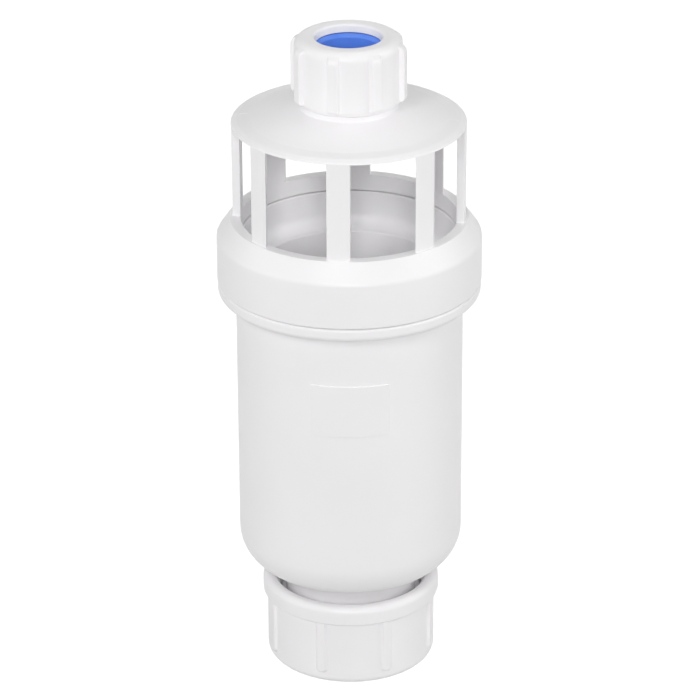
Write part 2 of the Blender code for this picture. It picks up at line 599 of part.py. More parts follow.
def make_valve_carrier():
    """Cup that hangs on the body's rim: flange, bowl, well, funnel and the valve's port and seat."""
    groove_r = CARRIER_OUTER - O_RING_SECTION - CLEARANCE
    groove_top = O_RING_HEIGHT + O_RING_SECTION / 2 + EDGE
    groove_bottom = O_RING_HEIGHT - O_RING_SECTION / 2 - EDGE
    catch_r = PORT_OUTER - SNAP_PROUD
    well_foot = WELL_RADIUS - WELL_DRAFT
    slope = (well_foot - PORT_RADIUS) / FUNNEL_DEPTH
    funnel_foot = FUNNEL_TOP - (well_foot + WELL_WALL - PORT_OUTER) / slope
    profile = [(CARRIER_BORE, CARRIER_TOP - EDGE), (CARRIER_BORE + EDGE, CARRIER_TOP)]
    profile += [(RIM_RADIUS, CARRIER_TOP), (RIM_RADIUS, CARRIER_LEDGE), (CARRIER_OUTER, CARRIER_LEDGE)]
    profile += [(CARRIER_OUTER, groove_top), (groove_r, groove_top)]
    profile += [(groove_r, groove_bottom), (CARRIER_OUTER, groove_bottom)]
    profile += [(CARRIER_OUTER, SKIRT_BOTTOM), (WELL_RADIUS + WELL_WALL, SKIRT_BOTTOM)]
    profile += [(well_foot + WELL_WALL, FUNNEL_TOP)]
    profile += [(PORT_OUTER, funnel_foot), (PORT_OUTER, GUIDE_SNAP_TOP)]
    profile += [(catch_r, GUIDE_SNAP_TOP - EDGE / 2), (catch_r, GUIDE_SNAP_BOTTOM + EDGE / 2)]
    profile += [(PORT_OUTER, GUIDE_SNAP_BOTTOM), (PORT_OUTER, SEAT), (PORT_RADIUS, SEAT)]
    profile += [(PORT_RADIUS, PORT_TOP), (well_foot, FUNNEL_TOP), (WELL_RADIUS, SHELF - EDGE)]
    fillet_r = CARRIER_BORE - CARRIER_FILLET
    profile += arc(fillet_r, SHELF + CARRIER_FILLET, CARRIER_FILLET, -90, 0, 3)
    turned("valve_carrier", profile, WHITE_PLASTIC, FACETS_MEDIUM)


def make_o_ring():
    """O-ring in the carrier's groove, against the body's socket."""
    section = O_RING_SECTION / 2
    bpy.ops.mesh.primitive_torus_add(
        major_radius=CARRIER_OUTER - section, minor_radius=section,
        major_segments=FACETS_MEDIUM, minor_segments=6,
        location=(0, 0, O_RING_HEIGHT),
    )
    ring = bpy.context.object
    ring.name = "carrier_o_ring"
    for collection in list(ring.users_collection):
        collection.objects.unlink(ring)
    ring.data.shade_smooth()
    place(ring, BLACK_RUBBER)


def make_valve_disc():
    """Mushroom valve: knob, neck for the silicone washer, plate, spring locator and stem."""
    knob_top = VALVE_SEAL_TOP + CLEARANCE + VALVE_KNOB_HEIGHT
    groove_r = STEM_RADIUS - CLIP_GROOVE
    locator = VALVE_PLATE_BOTTOM - SPRING_LOCATOR_HEIGHT
    profile = [(0, knob_top), (VALVE_KNOB_RADIUS - VALVE_KNOB_SHOULDER, knob_top - EDGE)]
    profile += [(VALVE_KNOB_RADIUS, VALVE_SEAL_TOP + CLEARANCE + VALVE_KNOB_HEIGHT / 2)]
    profile += [(VALVE_KNOB_RADIUS, VALVE_SEAL_TOP + CLEARANCE)]
    profile += [(VALVE_NECK_RADIUS, VALVE_SEAL_TOP + CLEARANCE), (VALVE_NECK_RADIUS, VALVE_PLATE_TOP)]
    profile += [(VALVE_RADIUS - EDGE, VALVE_PLATE_TOP), (VALVE_RADIUS, VALVE_PLATE_TOP - EDGE)]
    profile += [(VALVE_RADIUS, VALVE_PLATE_BOTTOM + CHAMFER), (VALVE_RADIUS - CHAMFER, VALVE_PLATE_BOTTOM)]
    profile += [(SPRING_LOCATOR_RADIUS, VALVE_PLATE_BOTTOM), (SPRING_LOCATOR_RADIUS, locator)]
    profile += [(STEM_RADIUS, locator), (STEM_RADIUS, CLIP_TOP + CLEARANCE / 2)]
    profile += [(groove_r, CLIP_TOP + CLEARANCE / 2), (groove_r, CLIP_BOTTOM - CLEARANCE)]
    profile += [(STEM_RADIUS, CLIP_BOTTOM - CLEARANCE)]
    profile += [(STEM_RADIUS, STEM_BOTTOM + CHAMFER), (STEM_RADIUS - CHAMFER, STEM_BOTTOM), (0, STEM_BOTTOM)]
    turned("valve_disc", profile, INNER_PLASTIC, FACETS_SMALL, closed=False)


def make_valve_seal():
    """Soft washer on the valve's plate that closes the port."""
    inner = VALVE_NECK_RADIUS + CLEARANCE
    outer = VALVE_RADIUS - CLEARANCE
    bottom = VALVE_PLATE_TOP + CLEARANCE
    profile = [(inner, VALVE_SEAL_TOP), (outer - CHAMFER, VALVE_SEAL_TOP), (outer, VALVE_SEAL_TOP - CHAMFER)]
    profile += [(outer, bottom), (inner, bottom)]
    turned("valve_seal", profile, CLEAR_SILICONE, FACETS_SMALL)


def make_stem_clip():
    """Clip that holds the stem in its bush."""
    inner = STEM_RADIUS - CLIP_GROOVE + CLEARANCE
    profile = [(inner, CLIP_TOP), (CLIP_RADIUS, CLIP_TOP), (CLIP_RADIUS, CLIP_BOTTOM), (inner, CLIP_BOTTOM)]
    turned("stem_clip", profile, INNER_PLASTIC, FACETS_SMALL)


def make_valve_guide():
    """Basket that snaps on the carrier's port, with side windows, a spoked floor and a stem bush."""
    ring_r = PORT_OUTER + CLEARANCE
    ring_top = SEAT + GUIDE_RING_HEIGHT
    ring_outer = ring_r + GUIDE_RING_WALL
    shoulder = SEAT - CLEARANCE
    outer = GUIDE_OUTER_RADIUS
    bead_top = GUIDE_SNAP_TOP - CLEARANCE
    bead_bottom = GUIDE_SNAP_BOTTOM + CLEARANCE
    bead_r = ring_r - SNAP_PROUD + CLEARANCE / 2
    bush_r = STEM_RADIUS + CLEARANCE
    profile = [(ring_r, ring_top), (ring_outer, ring_top), (ring_outer, SEAT + CLEARANCE)]
    profile += [(outer, SEAT - GUIDE_WALL), (outer, GUIDE_BOTTOM + EDGE), (outer - EDGE, GUIDE_BOTTOM)]
    profile += [(bush_r + BUSH_WALL, GUIDE_BOTTOM), (bush_r + BUSH_WALL, BUSH_BOTTOM)]
    profile += [(bush_r, BUSH_BOTTOM), (bush_r, SPRING_SEAT)]
    profile += [(GUIDE_INNER_RADIUS, SPRING_SEAT), (GUIDE_INNER_RADIUS, SEAT - GUIDE_WALL - CLEARANCE)]
    profile += [(ring_r, shoulder), (ring_r, bead_bottom), (bead_r, bead_bottom + EDGE / 2)]
    profile += [(bead_r, bead_top - EDGE / 2), (ring_r, bead_top)]
    guide = turned("valve_guide", profile, INNER_PLASTIC, FACETS_SMALL)
    side = spoke_gaps(
        "guide_side_gaps", GUIDE_LEGS, GUIDE_LEG_ANGLE, GUIDE_LEG_WIDTH, GUIDE_INNER_RADIUS - CUT_MARGIN,
        outer + CUT_MARGIN, SPRING_SEAT + GUIDE_WINDOW_SILL, SEAT - GUIDE_WINDOW_DROP,
    )
    combine(guide, side, "DIFFERENCE")
    floor = spoke_gaps(
        "guide_floor_gaps", GUIDE_LEGS, GUIDE_LEG_ANGLE, GUIDE_ARM_WIDTH, GUIDE_HUB_RADIUS,
        GUIDE_INNER_RADIUS - GUIDE_FLOOR_RIM, GUIDE_BOTTOM - CUT_MARGIN, SPRING_SEAT + CUT_MARGIN / 2,
    )
    combine(guide, floor, "DIFFERENCE")


def make_valve_spring():
    """Compression spring with a closed turn at each end, between the guide and the valve's plate."""
    radius = SPRING_WIRE / 2
    bottom = SPRING_SEAT + CLEARANCE + radius
    top = VALVE_PLATE_BOTTOM - CLEARANCE - radius
    turns = SPRING_ACTIVE_TURNS + 2
    count = turns * SPRING_POINTS_A_TURN
    curve = bpy.data.curves.new("valve_spring", "CURVE")
    curve.dimensions = "3D"
    curve.bevel_depth = radius
    curve.bevel_resolution = 1
    curve.use_fill_caps = True
    spline = curve.splines.new("POLY")
    spline.points.add(count)
    for i in range(count + 1):
        turn = i / SPRING_POINTS_A_TURN
        active = min(max(turn - 1, 0), SPRING_ACTIVE_TURNS) / SPRING_ACTIVE_TURNS
        ends = min(turn, 1) + max(turn - 1 - SPRING_ACTIVE_TURNS, 0)
        height = bottom + ends * SPRING_END_RISE + active * (top - bottom - 2 * SPRING_END_RISE)
        angle = 2 * math.pi * turn
        spline.points[i].co = (SPRING_RADIUS * math.cos(angle), SPRING_RADIUS * math.sin(angle), height, 1)
    place(bpy.data.objects.new("valve_spring", curve), SPRING_STEEL)


make_outlet_nut()
make_outlet_washer()
make_outlet_seal()
make_body()
make_cage()
make_inlet_nut()
make_inlet_seal()
make_valve_carrier()
make_o_ring()
make_valve_disc()
make_valve_seal()
make_stem_clip()
make_valve_guide()
make_valve_spring()
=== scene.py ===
"""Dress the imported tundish, a white plastic drain fitting with a windowed air-gap cage.

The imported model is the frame. Every piece is built in metres round the fitting's axis, +Z up, rides
on one of the frame's bodies and, where it is a finer form of a CAD node, replaces that node.
Azimuths are in degrees: 0 faces the camera, and 90 is to its right.
"""

from __future__ import annotations

import logging
import math
from dataclasses import dataclass, field, replace
from enum import Enum
from typing import Callable, Optional, Sequence

import bmesh
import bpy
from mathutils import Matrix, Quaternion, Vector

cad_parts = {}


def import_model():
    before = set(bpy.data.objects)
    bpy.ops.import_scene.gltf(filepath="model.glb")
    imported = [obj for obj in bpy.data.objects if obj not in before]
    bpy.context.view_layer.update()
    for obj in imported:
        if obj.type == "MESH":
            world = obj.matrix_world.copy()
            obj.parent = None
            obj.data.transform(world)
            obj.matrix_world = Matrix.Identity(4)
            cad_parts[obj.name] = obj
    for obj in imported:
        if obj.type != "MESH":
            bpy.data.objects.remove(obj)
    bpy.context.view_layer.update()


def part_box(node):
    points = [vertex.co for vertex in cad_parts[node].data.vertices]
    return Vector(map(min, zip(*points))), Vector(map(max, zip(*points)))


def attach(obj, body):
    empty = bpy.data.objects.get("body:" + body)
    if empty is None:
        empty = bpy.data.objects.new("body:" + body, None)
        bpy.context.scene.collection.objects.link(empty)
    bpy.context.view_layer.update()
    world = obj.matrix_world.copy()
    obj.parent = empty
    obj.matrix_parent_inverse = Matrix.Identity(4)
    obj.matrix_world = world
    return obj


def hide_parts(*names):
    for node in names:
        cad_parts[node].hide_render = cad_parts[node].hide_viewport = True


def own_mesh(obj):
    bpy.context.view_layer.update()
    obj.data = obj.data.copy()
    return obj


LOG = logging.getLogger("tundish")
FULL_TURN = 2 * math.pi
SHARP_ANGLE = math.radians(40)
CLEARANCE = 0.0003

# Small steps and roundings of moulded edges
HAIR, FINE, EASED, SOFT, FULL, BOLD = 0.0001, 0.0002, 0.0003, 0.0004, 0.0005, 0.0006
BROAD, WIDE = 0.0008, 0.0012
TIGHT_ROUND = 0.0007
ARC_STEP = 0.14
ON_AXIS = 1e-7
RIB_WALL_DEPTH = 0.0016


class Slot(Enum):
    """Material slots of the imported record."""

    WHITE = "white_polypropylene"
    ACETAL = "natural_acetal"
    BLUE = "blue_rubber"
    BLACK = "black_rubber"
    SILICONE = "grey_silicone"
    WIRE = "stainless_wire"


class Rider(Enum):
    """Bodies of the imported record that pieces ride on."""

    OUTLET_NUT = "outlet_nut"
    OUTLET_SEALS = "outlet_seals"
    HOUSING = "housing"
    VALVE = "valve"
    INLET_SEAL = "inlet_seal"
    INLET_NUT = "inlet_nut"


class Facing(Enum):
    """Side of a wall that a screw thread stands on."""

    OUTWARD = 1
    INWARD = -1


def bearing(azimuth: float) -> float:
    """Turn an azimuth in degrees into an angle from +X in radians."""
    return math.radians(azimuth - 90)


def smooth_rise(share: float) -> float:
    """Ease from 0 to 1 with level ends, for a share that is clamped to 0 to 1."""
    share = min(1.0, max(0.0, share))
    return share * share * (3 - 2 * share)


def round_rise(share: float) -> float:
    """Rise like a quarter of a circle from 0 to 1, for a share that is clamped to 0 to 1."""
    share = min(1.0, max(0.0, share))
    return math.sqrt(1 - (1 - share) ** 2)


def put(name: str, data: bpy.types.ID) -> bpy.types.Object:
    """Add an object to the scene.

    Args:
        name: The object's name.
        data: Its mesh, lamp or camera.

    Returns:
        The object.
    """
    made = bpy.data.objects.new(name, data)
    bpy.context.scene.collection.objects.link(made)
    return made


def released(bm: bmesh.types.BMesh, name: str) -> bpy.types.Mesh:
    """Give a working mesh as a mesh of its own.

    Args:
        bm: The working mesh, which is freed.
        name: The mesh's name.

    Returns:
        The mesh.
    """
    mesh = bpy.data.meshes.new(name)
    bm.to_mesh(mesh)
    bm.free()
    return mesh


def bridge(
    bm: bmesh.types.BMesh, near: Sequence[bmesh.types.BMVert], far: Sequence[bmesh.types.BMVert]
) -> None:
    """Join two rings of as many points by a band of faces.

    Args:
        bm: The working mesh.
        near: The first ring.
        far: The second ring, in step with the first.
    """
    for k in range(len(near)):
        after = (k + 1) % len(near)
        bm.faces.new((near[k], near[after], far[after], far[k]))


def skin(name: str, sections: Sequence[Sequence[Sequence[float]]]) -> bpy.types.Mesh:
    """Join sections of as many points into one closed mesh, capped at both ends.

    Args:
        name: The mesh's name.
        sections: The points of each section, in order.

    Returns:
        The mesh, with its faces turned outwards.
    """
    bm = bmesh.new()
    rings = [[bm.verts.new(point) for point in section] for section in sections]
    bm.faces.new(rings[0])
    bm.faces.new(rings[-1])
    for near, far in zip(rings, rings[1:]):
        bridge(bm, near, far)
    bmesh.ops.recalc_face_normals(bm, faces=bm.faces)
    return released(bm, name)


class NodeSheet:
    """Node tree of one Principled material, with the few node patterns that the finishes share."""

    def __init__(self, name: str) -> None:
        """Make a material with a bare Principled shader.

        Args:
            name: The material's name.
        """
        self.material = bpy.data.materials.new(name)
        self.material.use_nodes = True
        self.nodes = self.material.node_tree.nodes
        self.links = self.material.node_tree.links
        self.shader = self.nodes["Principled BSDF"]
        self.coordinates = self.nodes.new("ShaderNodeTexCoord").outputs["Object"]
        self.relief: Optional[bpy.types.NodeSocket] = None

    def set(self, **values: object) -> None:
        """Set the shader's own sockets, named with underscores for spaces."""
        for key, value in values.items():
            self.shader.inputs[key.replace("_", " ")].default_value = value

    def stretched(self, scale: tuple[float, float, float]) -> bpy.types.NodeSocket:
        """Give the object's coordinates scaled by three numbers.

        Args:
            scale: The three numbers.

        Returns:
            The socket with the scaled coordinates.
        """
        mapping = self.nodes.new("ShaderNodeMapping")
        mapping.inputs["Scale"].default_value = scale
        self.links.new(self.coordinates, mapping.inputs["Vector"])
        return mapping.outputs["Vector"]

    def noise(
        self, size: float, detail: float = 2.0, vector: Optional[bpy.types.NodeSocket] = None
    ) -> bpy.types.NodeSocket:
        """Add a noise pattern.

        Args:
            size: Width of its larger features, in metres.
            detail: How many finer layers it has.
            vector: Coordinates to use in place of the object's own.

        Returns:
            The socket with its value.
        """
        node = self.nodes.new("ShaderNodeTexNoise")
        node.inputs["Scale"].default_value = 1 / size
        node.inputs["Detail"].default_value = detail
        self.links.new(vector or self.coordinates, node.inputs["Vector"])
        return node.outputs["Fac"]

    def roughen(self, value: bpy.types.NodeSocket, low: float, high: float) -> None:
        """Let a noise pattern's middle set the roughness, from low to high.

        Args:
            value: The pattern.
            low: Roughness where the pattern is low.
            high: Roughness where it is high.
        """
        node = self.nodes.new("ShaderNodeMapRange")
        node.inputs["From Min"].default_value = 0.3
        node.inputs["From Max"].default_value = 0.7
        node.inputs["To Min"].default_value = low
        node.inputs["To Max"].default_value = high
        self.links.new(value, node.inputs["Value"])
        self.links.new(node.outputs["Result"], self.shader.inputs["Roughness"])

    def tint(
        self, value: bpy.types.NodeSocket, low: tuple[float, float, float], high: tuple[float, float, float]
    ) -> None:
        """Colour the surface between two near colours by a pattern.

        Args:
            value: The pattern.
            low: Colour where the pattern is low.
            high: Colour where it is high.
        """
        ramp = self.nodes.new("ShaderNodeValToRGB")
        ramp.color_ramp.elements[0].position = 0.32
        ramp.color_ramp.elements[0].color = (*low, 1.0)
        ramp.color_ramp.elements[1].position = 0.68
        ramp.color_ramp.elements[1].color = (*high, 1.0)
        self.links.new(value, ramp.inputs["Fac"])
        self.links.new(ramp.outputs["Color"], self.shader.inputs["Base Color"])

    def emboss(self, value: bpy.types.NodeSocket, depth: float) -> None:
        """Add a layer of relief.

        Args:
            value: Height pattern from 0 to 1.
            depth: Height of a full rise, in metres.
        """
        bump = self.nodes.new("ShaderNodeBump")
        bump.inputs["Strength"].default_value = 1.0
        bump.inputs["Distance"].default_value = depth
        self.links.new(value, bump.inputs["Height"])
        if self.relief is not None:
            self.links.new(self.relief, bump.inputs["Normal"])
        self.relief = bump.outputs["Normal"]
        self.links.new(self.relief, self.shader.inputs["Normal"])


@dataclass(frozen=True)
class MouldedPlastic:
    """Injection-moulded plastic: nearly even colour, a satin skin with fine grain and slow ripples."""

    slot: Slot
    colour: tuple[float, float, float]
    shade: tuple[float, float, float]
    roughness: float
    roughness_swing: float
    scatter: float
    grain_size: float = 0.00045
    grain_depth: float = 0.0000025
    ripple_size: float = 0.014
    ripple_depth: float = 0.000012

    def material(self) -> bpy.types.Material:
        """Build the material.

        Returns:
            The material.
        """
        sheet = NodeSheet(self.slot.value + "_finish")
        sheet.set(
            IOR=1.49, Subsurface_Weight=self.scatter, Subsurface_Radius=(1.0, 0.92, 0.88),
            Subsurface_Scale=0.0014, Base_Color=(*self.colour, 1.0),
        )
        sheet.tint(sheet.noise(0.03, 3.0), self.shade, self.colour)
        low, high = self.roughness - self.roughness_swing, self.roughness + self.roughness_swing
        sheet.roughen(sheet.noise(0.004, 4.0), low, high)
        sheet.emboss(sheet.noise(self.ripple_size, 1.0), self.ripple_depth)
        sheet.emboss(sheet.noise(self.grain_size, 3.0), self.grain_depth)
        return sheet.material


@dataclass(frozen=True)
class MouldedRubber:
    """Moulded rubber: a dull skin with a fine pebble and a faint bloom."""

    slot: Slot
    colour: tuple[float, float, float]
    bloom: tuple[float, float, float]
    roughness: float
    sheen: float

    def material(self) -> bpy.types.Material:
        """Build the material.

        Returns:
            The material.
        """
        sheet = NodeSheet(self.slot.value + "_finish")
        sheet.set(IOR=1.52, Sheen_Weight=self.sheen, Sheen_Roughness=0.5, Base_Color=(*self.colour, 1.0))
        sheet.tint(sheet.noise(0.005, 4.0), self.colour, self.bloom)
        sheet.roughen(sheet.noise(0.002, 3.0), self.roughness - 0.06, self.roughness + 0.06)
        sheet.emboss(sheet.noise(0.0004, 2.0), 0.000006)
        return sheet.material


@dataclass(frozen=True)
class DrawnWire:
    """Bright spring wire with the fine scores that drawing leaves along it."""

    slot: Slot
    colour: tuple[float, float, float]
    stain: tuple[float, float, float]

    def material(self) -> bpy.types.Material:
        """Build the material.

        Returns:
            The material.
        """
        sheet = NodeSheet(self.slot.value + "_finish")
        sheet.set(Metallic=1.0, Base_Color=(*self.colour, 1.0))
        sheet.tint(sheet.noise(0.004, 3.0), self.stain, self.colour)
        scores = sheet.noise(0.002, 4.0, sheet.stretched((1.0, 1.0, 30.0)))
        sheet.roughen(scores, 0.18, 0.34)
        sheet.emboss(scores, 0.000004)
        return sheet.material


@dataclass(frozen=True)
class Palette:
    """The fitting's six finishes."""

    white: MouldedPlastic = MouldedPlastic(
        Slot.WHITE, (0.955, 0.944, 0.955), (0.935, 0.924, 0.935), 0.42, 0.05, 0.06
    )
    acetal: MouldedPlastic = MouldedPlastic(
        Slot.ACETAL, (0.76, 0.745, 0.71), (0.73, 0.715, 0.68), 0.36, 0.05, 0.1
    )
    blue: MouldedRubber = MouldedRubber(Slot.BLUE, (0.085, 0.235, 0.84), (0.10, 0.265, 0.88), 0.5, 0.12)
    black: MouldedRubber = MouldedRubber(Slot.BLACK, (0.018, 0.018, 0.02), (0.03, 0.03, 0.032), 0.62, 0.05)
    silicone: MouldedRubber = MouldedRubber(Slot.SILICONE, (0.45, 0.46, 0.47), (0.5, 0.51, 0.52), 0.42, 0.0)
    wire: DrawnWire = DrawnWire(Slot.WIRE, (0.64, 0.63, 0.62), (0.52, 0.51, 0.50))

    def materials(self) -> dict[Slot, bpy.types.Material]:
        """Build every material once, by slot."""
        finishes = (self.white, self.acetal, self.blue, self.black, self.silicone, self.wire)
        return {finish.slot: finish.material() for finish in finishes}


@dataclass(frozen=True)
class Row:
    """One ring of points of a turned piece."""

    radius: float
    height: float
    tag: str = ""
    bar: float = 0.0


@dataclass(frozen=True)
class Corner:
    """A corner of a turned profile, and the radius that it is rounded to."""

    radius: float
    height: float
    round: float = 0.0
    tag: str = ""
    bar: float = 0.0

    def arc(self, before: "Corner", after: "Corner") -> list[Row]:
        """Round the corner off between its neighbours.

        Args:
            before: The corner before it.
            after: The corner after it.

        Returns:
            The rows that stand for the corner, in order.
        """
        if self.round <= 0:
            return [Row(self.radius, self.height, self.tag, self.bar)]
        point = Vector((self.radius, self.height))
        back = (Vector((before.radius, before.height)) - point).normalized()
        ahead = (Vector((after.radius, after.height)) - point).normalized()
        half = math.acos(max(-1.0, min(1.0, back.dot(ahead)))) / 2
        centre = point + (back + ahead).normalized() * (self.round / math.sin(half))
        first = point + back * (self.round / math.tan(half)) - centre
        last = point + ahead * (self.round / math.tan(half)) - centre
        start = math.atan2(first.y, first.x)
        sweep = math.remainder(math.atan2(last.y, last.x) - start, FULL_TURN)
        steps = 3 if self.round < TIGHT_ROUND else max(3, math.ceil(abs(sweep) / ARC_STEP))
        rows = []
        for i in range(steps + 1):
            angle = start + sweep * i / steps
            radius = centre.x + self.round * math.cos(angle)
            rows.append(Row(radius, centre.y + self.round * math.sin(angle), "", self.bar))
        return rows


def rounded_rows(corners: Sequence[Corner], closed: bool = True) -> list[Row]:
    """Round a profile's corners.

    Args:
        corners: The profile, down its outer side and up its inner side.
        closed: Whether its last corner joins its first.

    Returns:
        The rows of the turned piece.
    """
    rows: list[Row] = []
    count = len(corners)
    for i, corner in enumerate(corners):
        if not closed and i in (0, count - 1):
            rows.append(Row(corner.radius, corner.height, corner.tag, corner.bar))
            continue
        rows += corner.arc(corners[i - 1], corners[(i + 1) % count])
    return rows


def with_heights(rows: Sequence[Row], radius: float, heights: Sequence[float]) -> list[Row]:
    """Add rows to a straight outer wall, so that its ribs have points to follow.

    Args:
        rows: The piece's rows.
        radius: Least radius of the wall.
        heights: Heights at which rows are wanted.

    Returns:
        The rows with the new ones in place.
    """
    made: list[Row] = []
    for row, after in zip(rows, list(rows[1:]) + [rows[0]]):
        made.append(row)
        if row.radius < radius or after.radius < radius or after.height >= row.height:
            continue
        fall = row.height - after.height
        for height in sorted(heights, reverse=True):
            share = (row.height - height) / fall
            if HAIR < row.height - height < fall - HAIR:
                made.append(Row(row.radius + (after.radius - row.radius) * share, height))
    return made


@dataclass(frozen=True)
class RibRing:
    """Upright grip ribs round a nut, as a smooth rise of its outer wall."""

    count: int
    azimuth: float
    width: float
    proud: float
    foot: float
    top: float
    side_run: float
    top_run: float
    face_radius: float
    foot_run: float = 0.0
    round_foot: bool = False

    def offset(self, angle: float) -> float:
        """Give the angle to the nearest rib's middle, in radians."""
        return math.remainder(angle - bearing(self.azimuth), FULL_TURN / self.count)

    def radius(self, row: Row, angle: float) -> float:
        """Give the wall's radius with the ribs on it.

        Args:
            row: The row of the bare wall.
            angle: Angle from +X in radians.

        Returns:
            The radius of the ribbed wall there.
        """
        offset = self.offset(angle)
        lateral = abs(self.face_radius * math.sin(offset))
        if self.round_foot:
            lateral = math.hypot(lateral, max(0.0, self.foot + self.width / 2 - row.height))
        inside = self.width / 2 - lateral
        low = self.foot - self.side_run / 2 if self.round_foot else self.foot
        inner = row.radius < self.face_radius - RIB_WALL_DEPTH
        if inner or inside < -self.side_run / 2 or not low < row.height < self.top:
            return row.radius
        side = smooth_rise((inside + self.side_run / 2) / self.side_run)
        end = 1.0 if self.round_foot else round_rise((row.height - self.foot) / self.foot_run)
        end *= round_rise((self.top - row.height) / self.top_run)
        face = (self.face_radius + self.proud) / math.cos(offset)
        return row.radius + max(0.0, (face - row.radius) * side * end)

    def angles(self) -> list[float]:
        """List the angles of a mesh that follows the ribs, close together at their sides.

        Returns:
            The angles from +X in radians, in order.
        """
        half = self.width / 2
        run = self.side_run / 2
        laterals = [half + run * share for share in (-1.0, -0.7, -0.4, -0.15, 0.1, 0.35, 0.65, 1.0, 1.5)]
        laterals = [0.0, half * 0.45] + laterals
        beside = [math.asin(min(1.0, lateral / self.face_radius)) for lateral in laterals]
        pitch = FULL_TURN / self.count
        free = pitch - 2 * beside[-1]
        gaps = max(4, math.ceil(free / math.radians(3.2)))
        sector = [-angle for angle in reversed(beside[1:])] + beside
        sector += [beside[-1] + free * i / gaps for i in range(1, gaps)]
        start = bearing(self.azimuth)
        return [start + pitch * k + angle for k in range(self.count) for angle in sector]

    def heights(self) -> list[float]:
        """List the heights of a mesh that follows the ribs' rounded ends.

        Returns:
            The heights.
        """
        shares = (0.0, 0.02, 0.06, 0.13, 0.24, 0.38, 0.55, 0.76, 1.0)
        if self.round_foot:
            start, run = self.foot - self.side_run / 2, (self.width + self.side_run) / 2
            low = [start + run * i / 12 for i in range(13)]
        else:
            low = [self.foot + self.foot_run * share for share in shares]
        return low + [self.top - self.top_run * share for share in shares]


@dataclass
class Turning:
    """A profile turned about the fitting's axis, whose radius may change round it."""

    name: str
    rows: list[Row]
    facets: int = 144
    closed: bool = True
    angles: list[float] = field(default_factory=list)
    wall: Optional[Callable[[Row, float], float]] = None

    def mesh(self) -> bpy.types.Mesh:
        """Build the mesh.

        Returns:
            The mesh.
        """
        angles = self.angles or [FULL_TURN * i / self.facets for i in range(self.facets)]
        verts: list[tuple[float, float, float]] = []
        rings: list[list[int]] = []
        for row in self.rows:
            if row.radius < ON_AXIS:
                rings.append([len(verts)] * len(angles))
                verts.append((0.0, 0.0, row.height))
                continue
            rings.append(list(range(len(verts), len(verts) + len(angles))))
            for angle in angles:
                radius = self.wall(row, angle) if self.wall else row.radius
                verts.append((radius * math.cos(angle), radius * math.sin(angle), row.height))
        faces = []
        last = len(rings) if self.closed else len(rings) - 1
        for i in range(last):
            upper, lower = rings[i], rings[(i + 1) % len(rings)]
            for j in range(len(angles)):
                k = (j + 1) % len(angles)
                loop = [upper[j], lower[j], lower[k], upper[k]]
                faces.append(list(dict.fromkeys(loop)))
        mesh = bpy.data.meshes.new(self.name)
        mesh.from_pydata(verts, [], faces)
        mesh.update()
        return mesh


@dataclass(frozen=True)
class Window:
    """A ring of openings between bars: two rows on one face of a wall, two on its other face."""

    first: str
    second: str
    third: str
    fourth: str
    soft_second: bool = True


@dataclass(frozen=True)
class Bars:
    """Four parallel-sided bars a quarter turn apart, and where asked one at each corner between them.

    The corner bars' sides follow the same pull of the mould as those of the other four.
    """

    azimuth: float
    corner_sides: tuple[float, ...] = ()

    def spans(self, radius: float, half: float) -> list[tuple[float, float]]:
        """List each bar's first and last angle from +X, in radians and in order.

        Args:
            radius: Radius of the row that is asked for.
            half: Half the width of the four bars in that row.

        Returns:
            The bars' spans.
        """
        axis = math.asin(half / radius)
        quarter = math.pi / 2
        spans = []
        for k in range(4):
            middle = bearing(self.azimuth) + quarter * k
            spans.append((middle - axis, middle + axis))
            if self.corner_sides:
                near, far = (math.asin(side / radius) for side in self.corner_sides)
                first, last = (near, far) if k % 2 == 0 else (quarter - far, quarter - near)
                spans.append((middle + first, middle + last))
        return spans


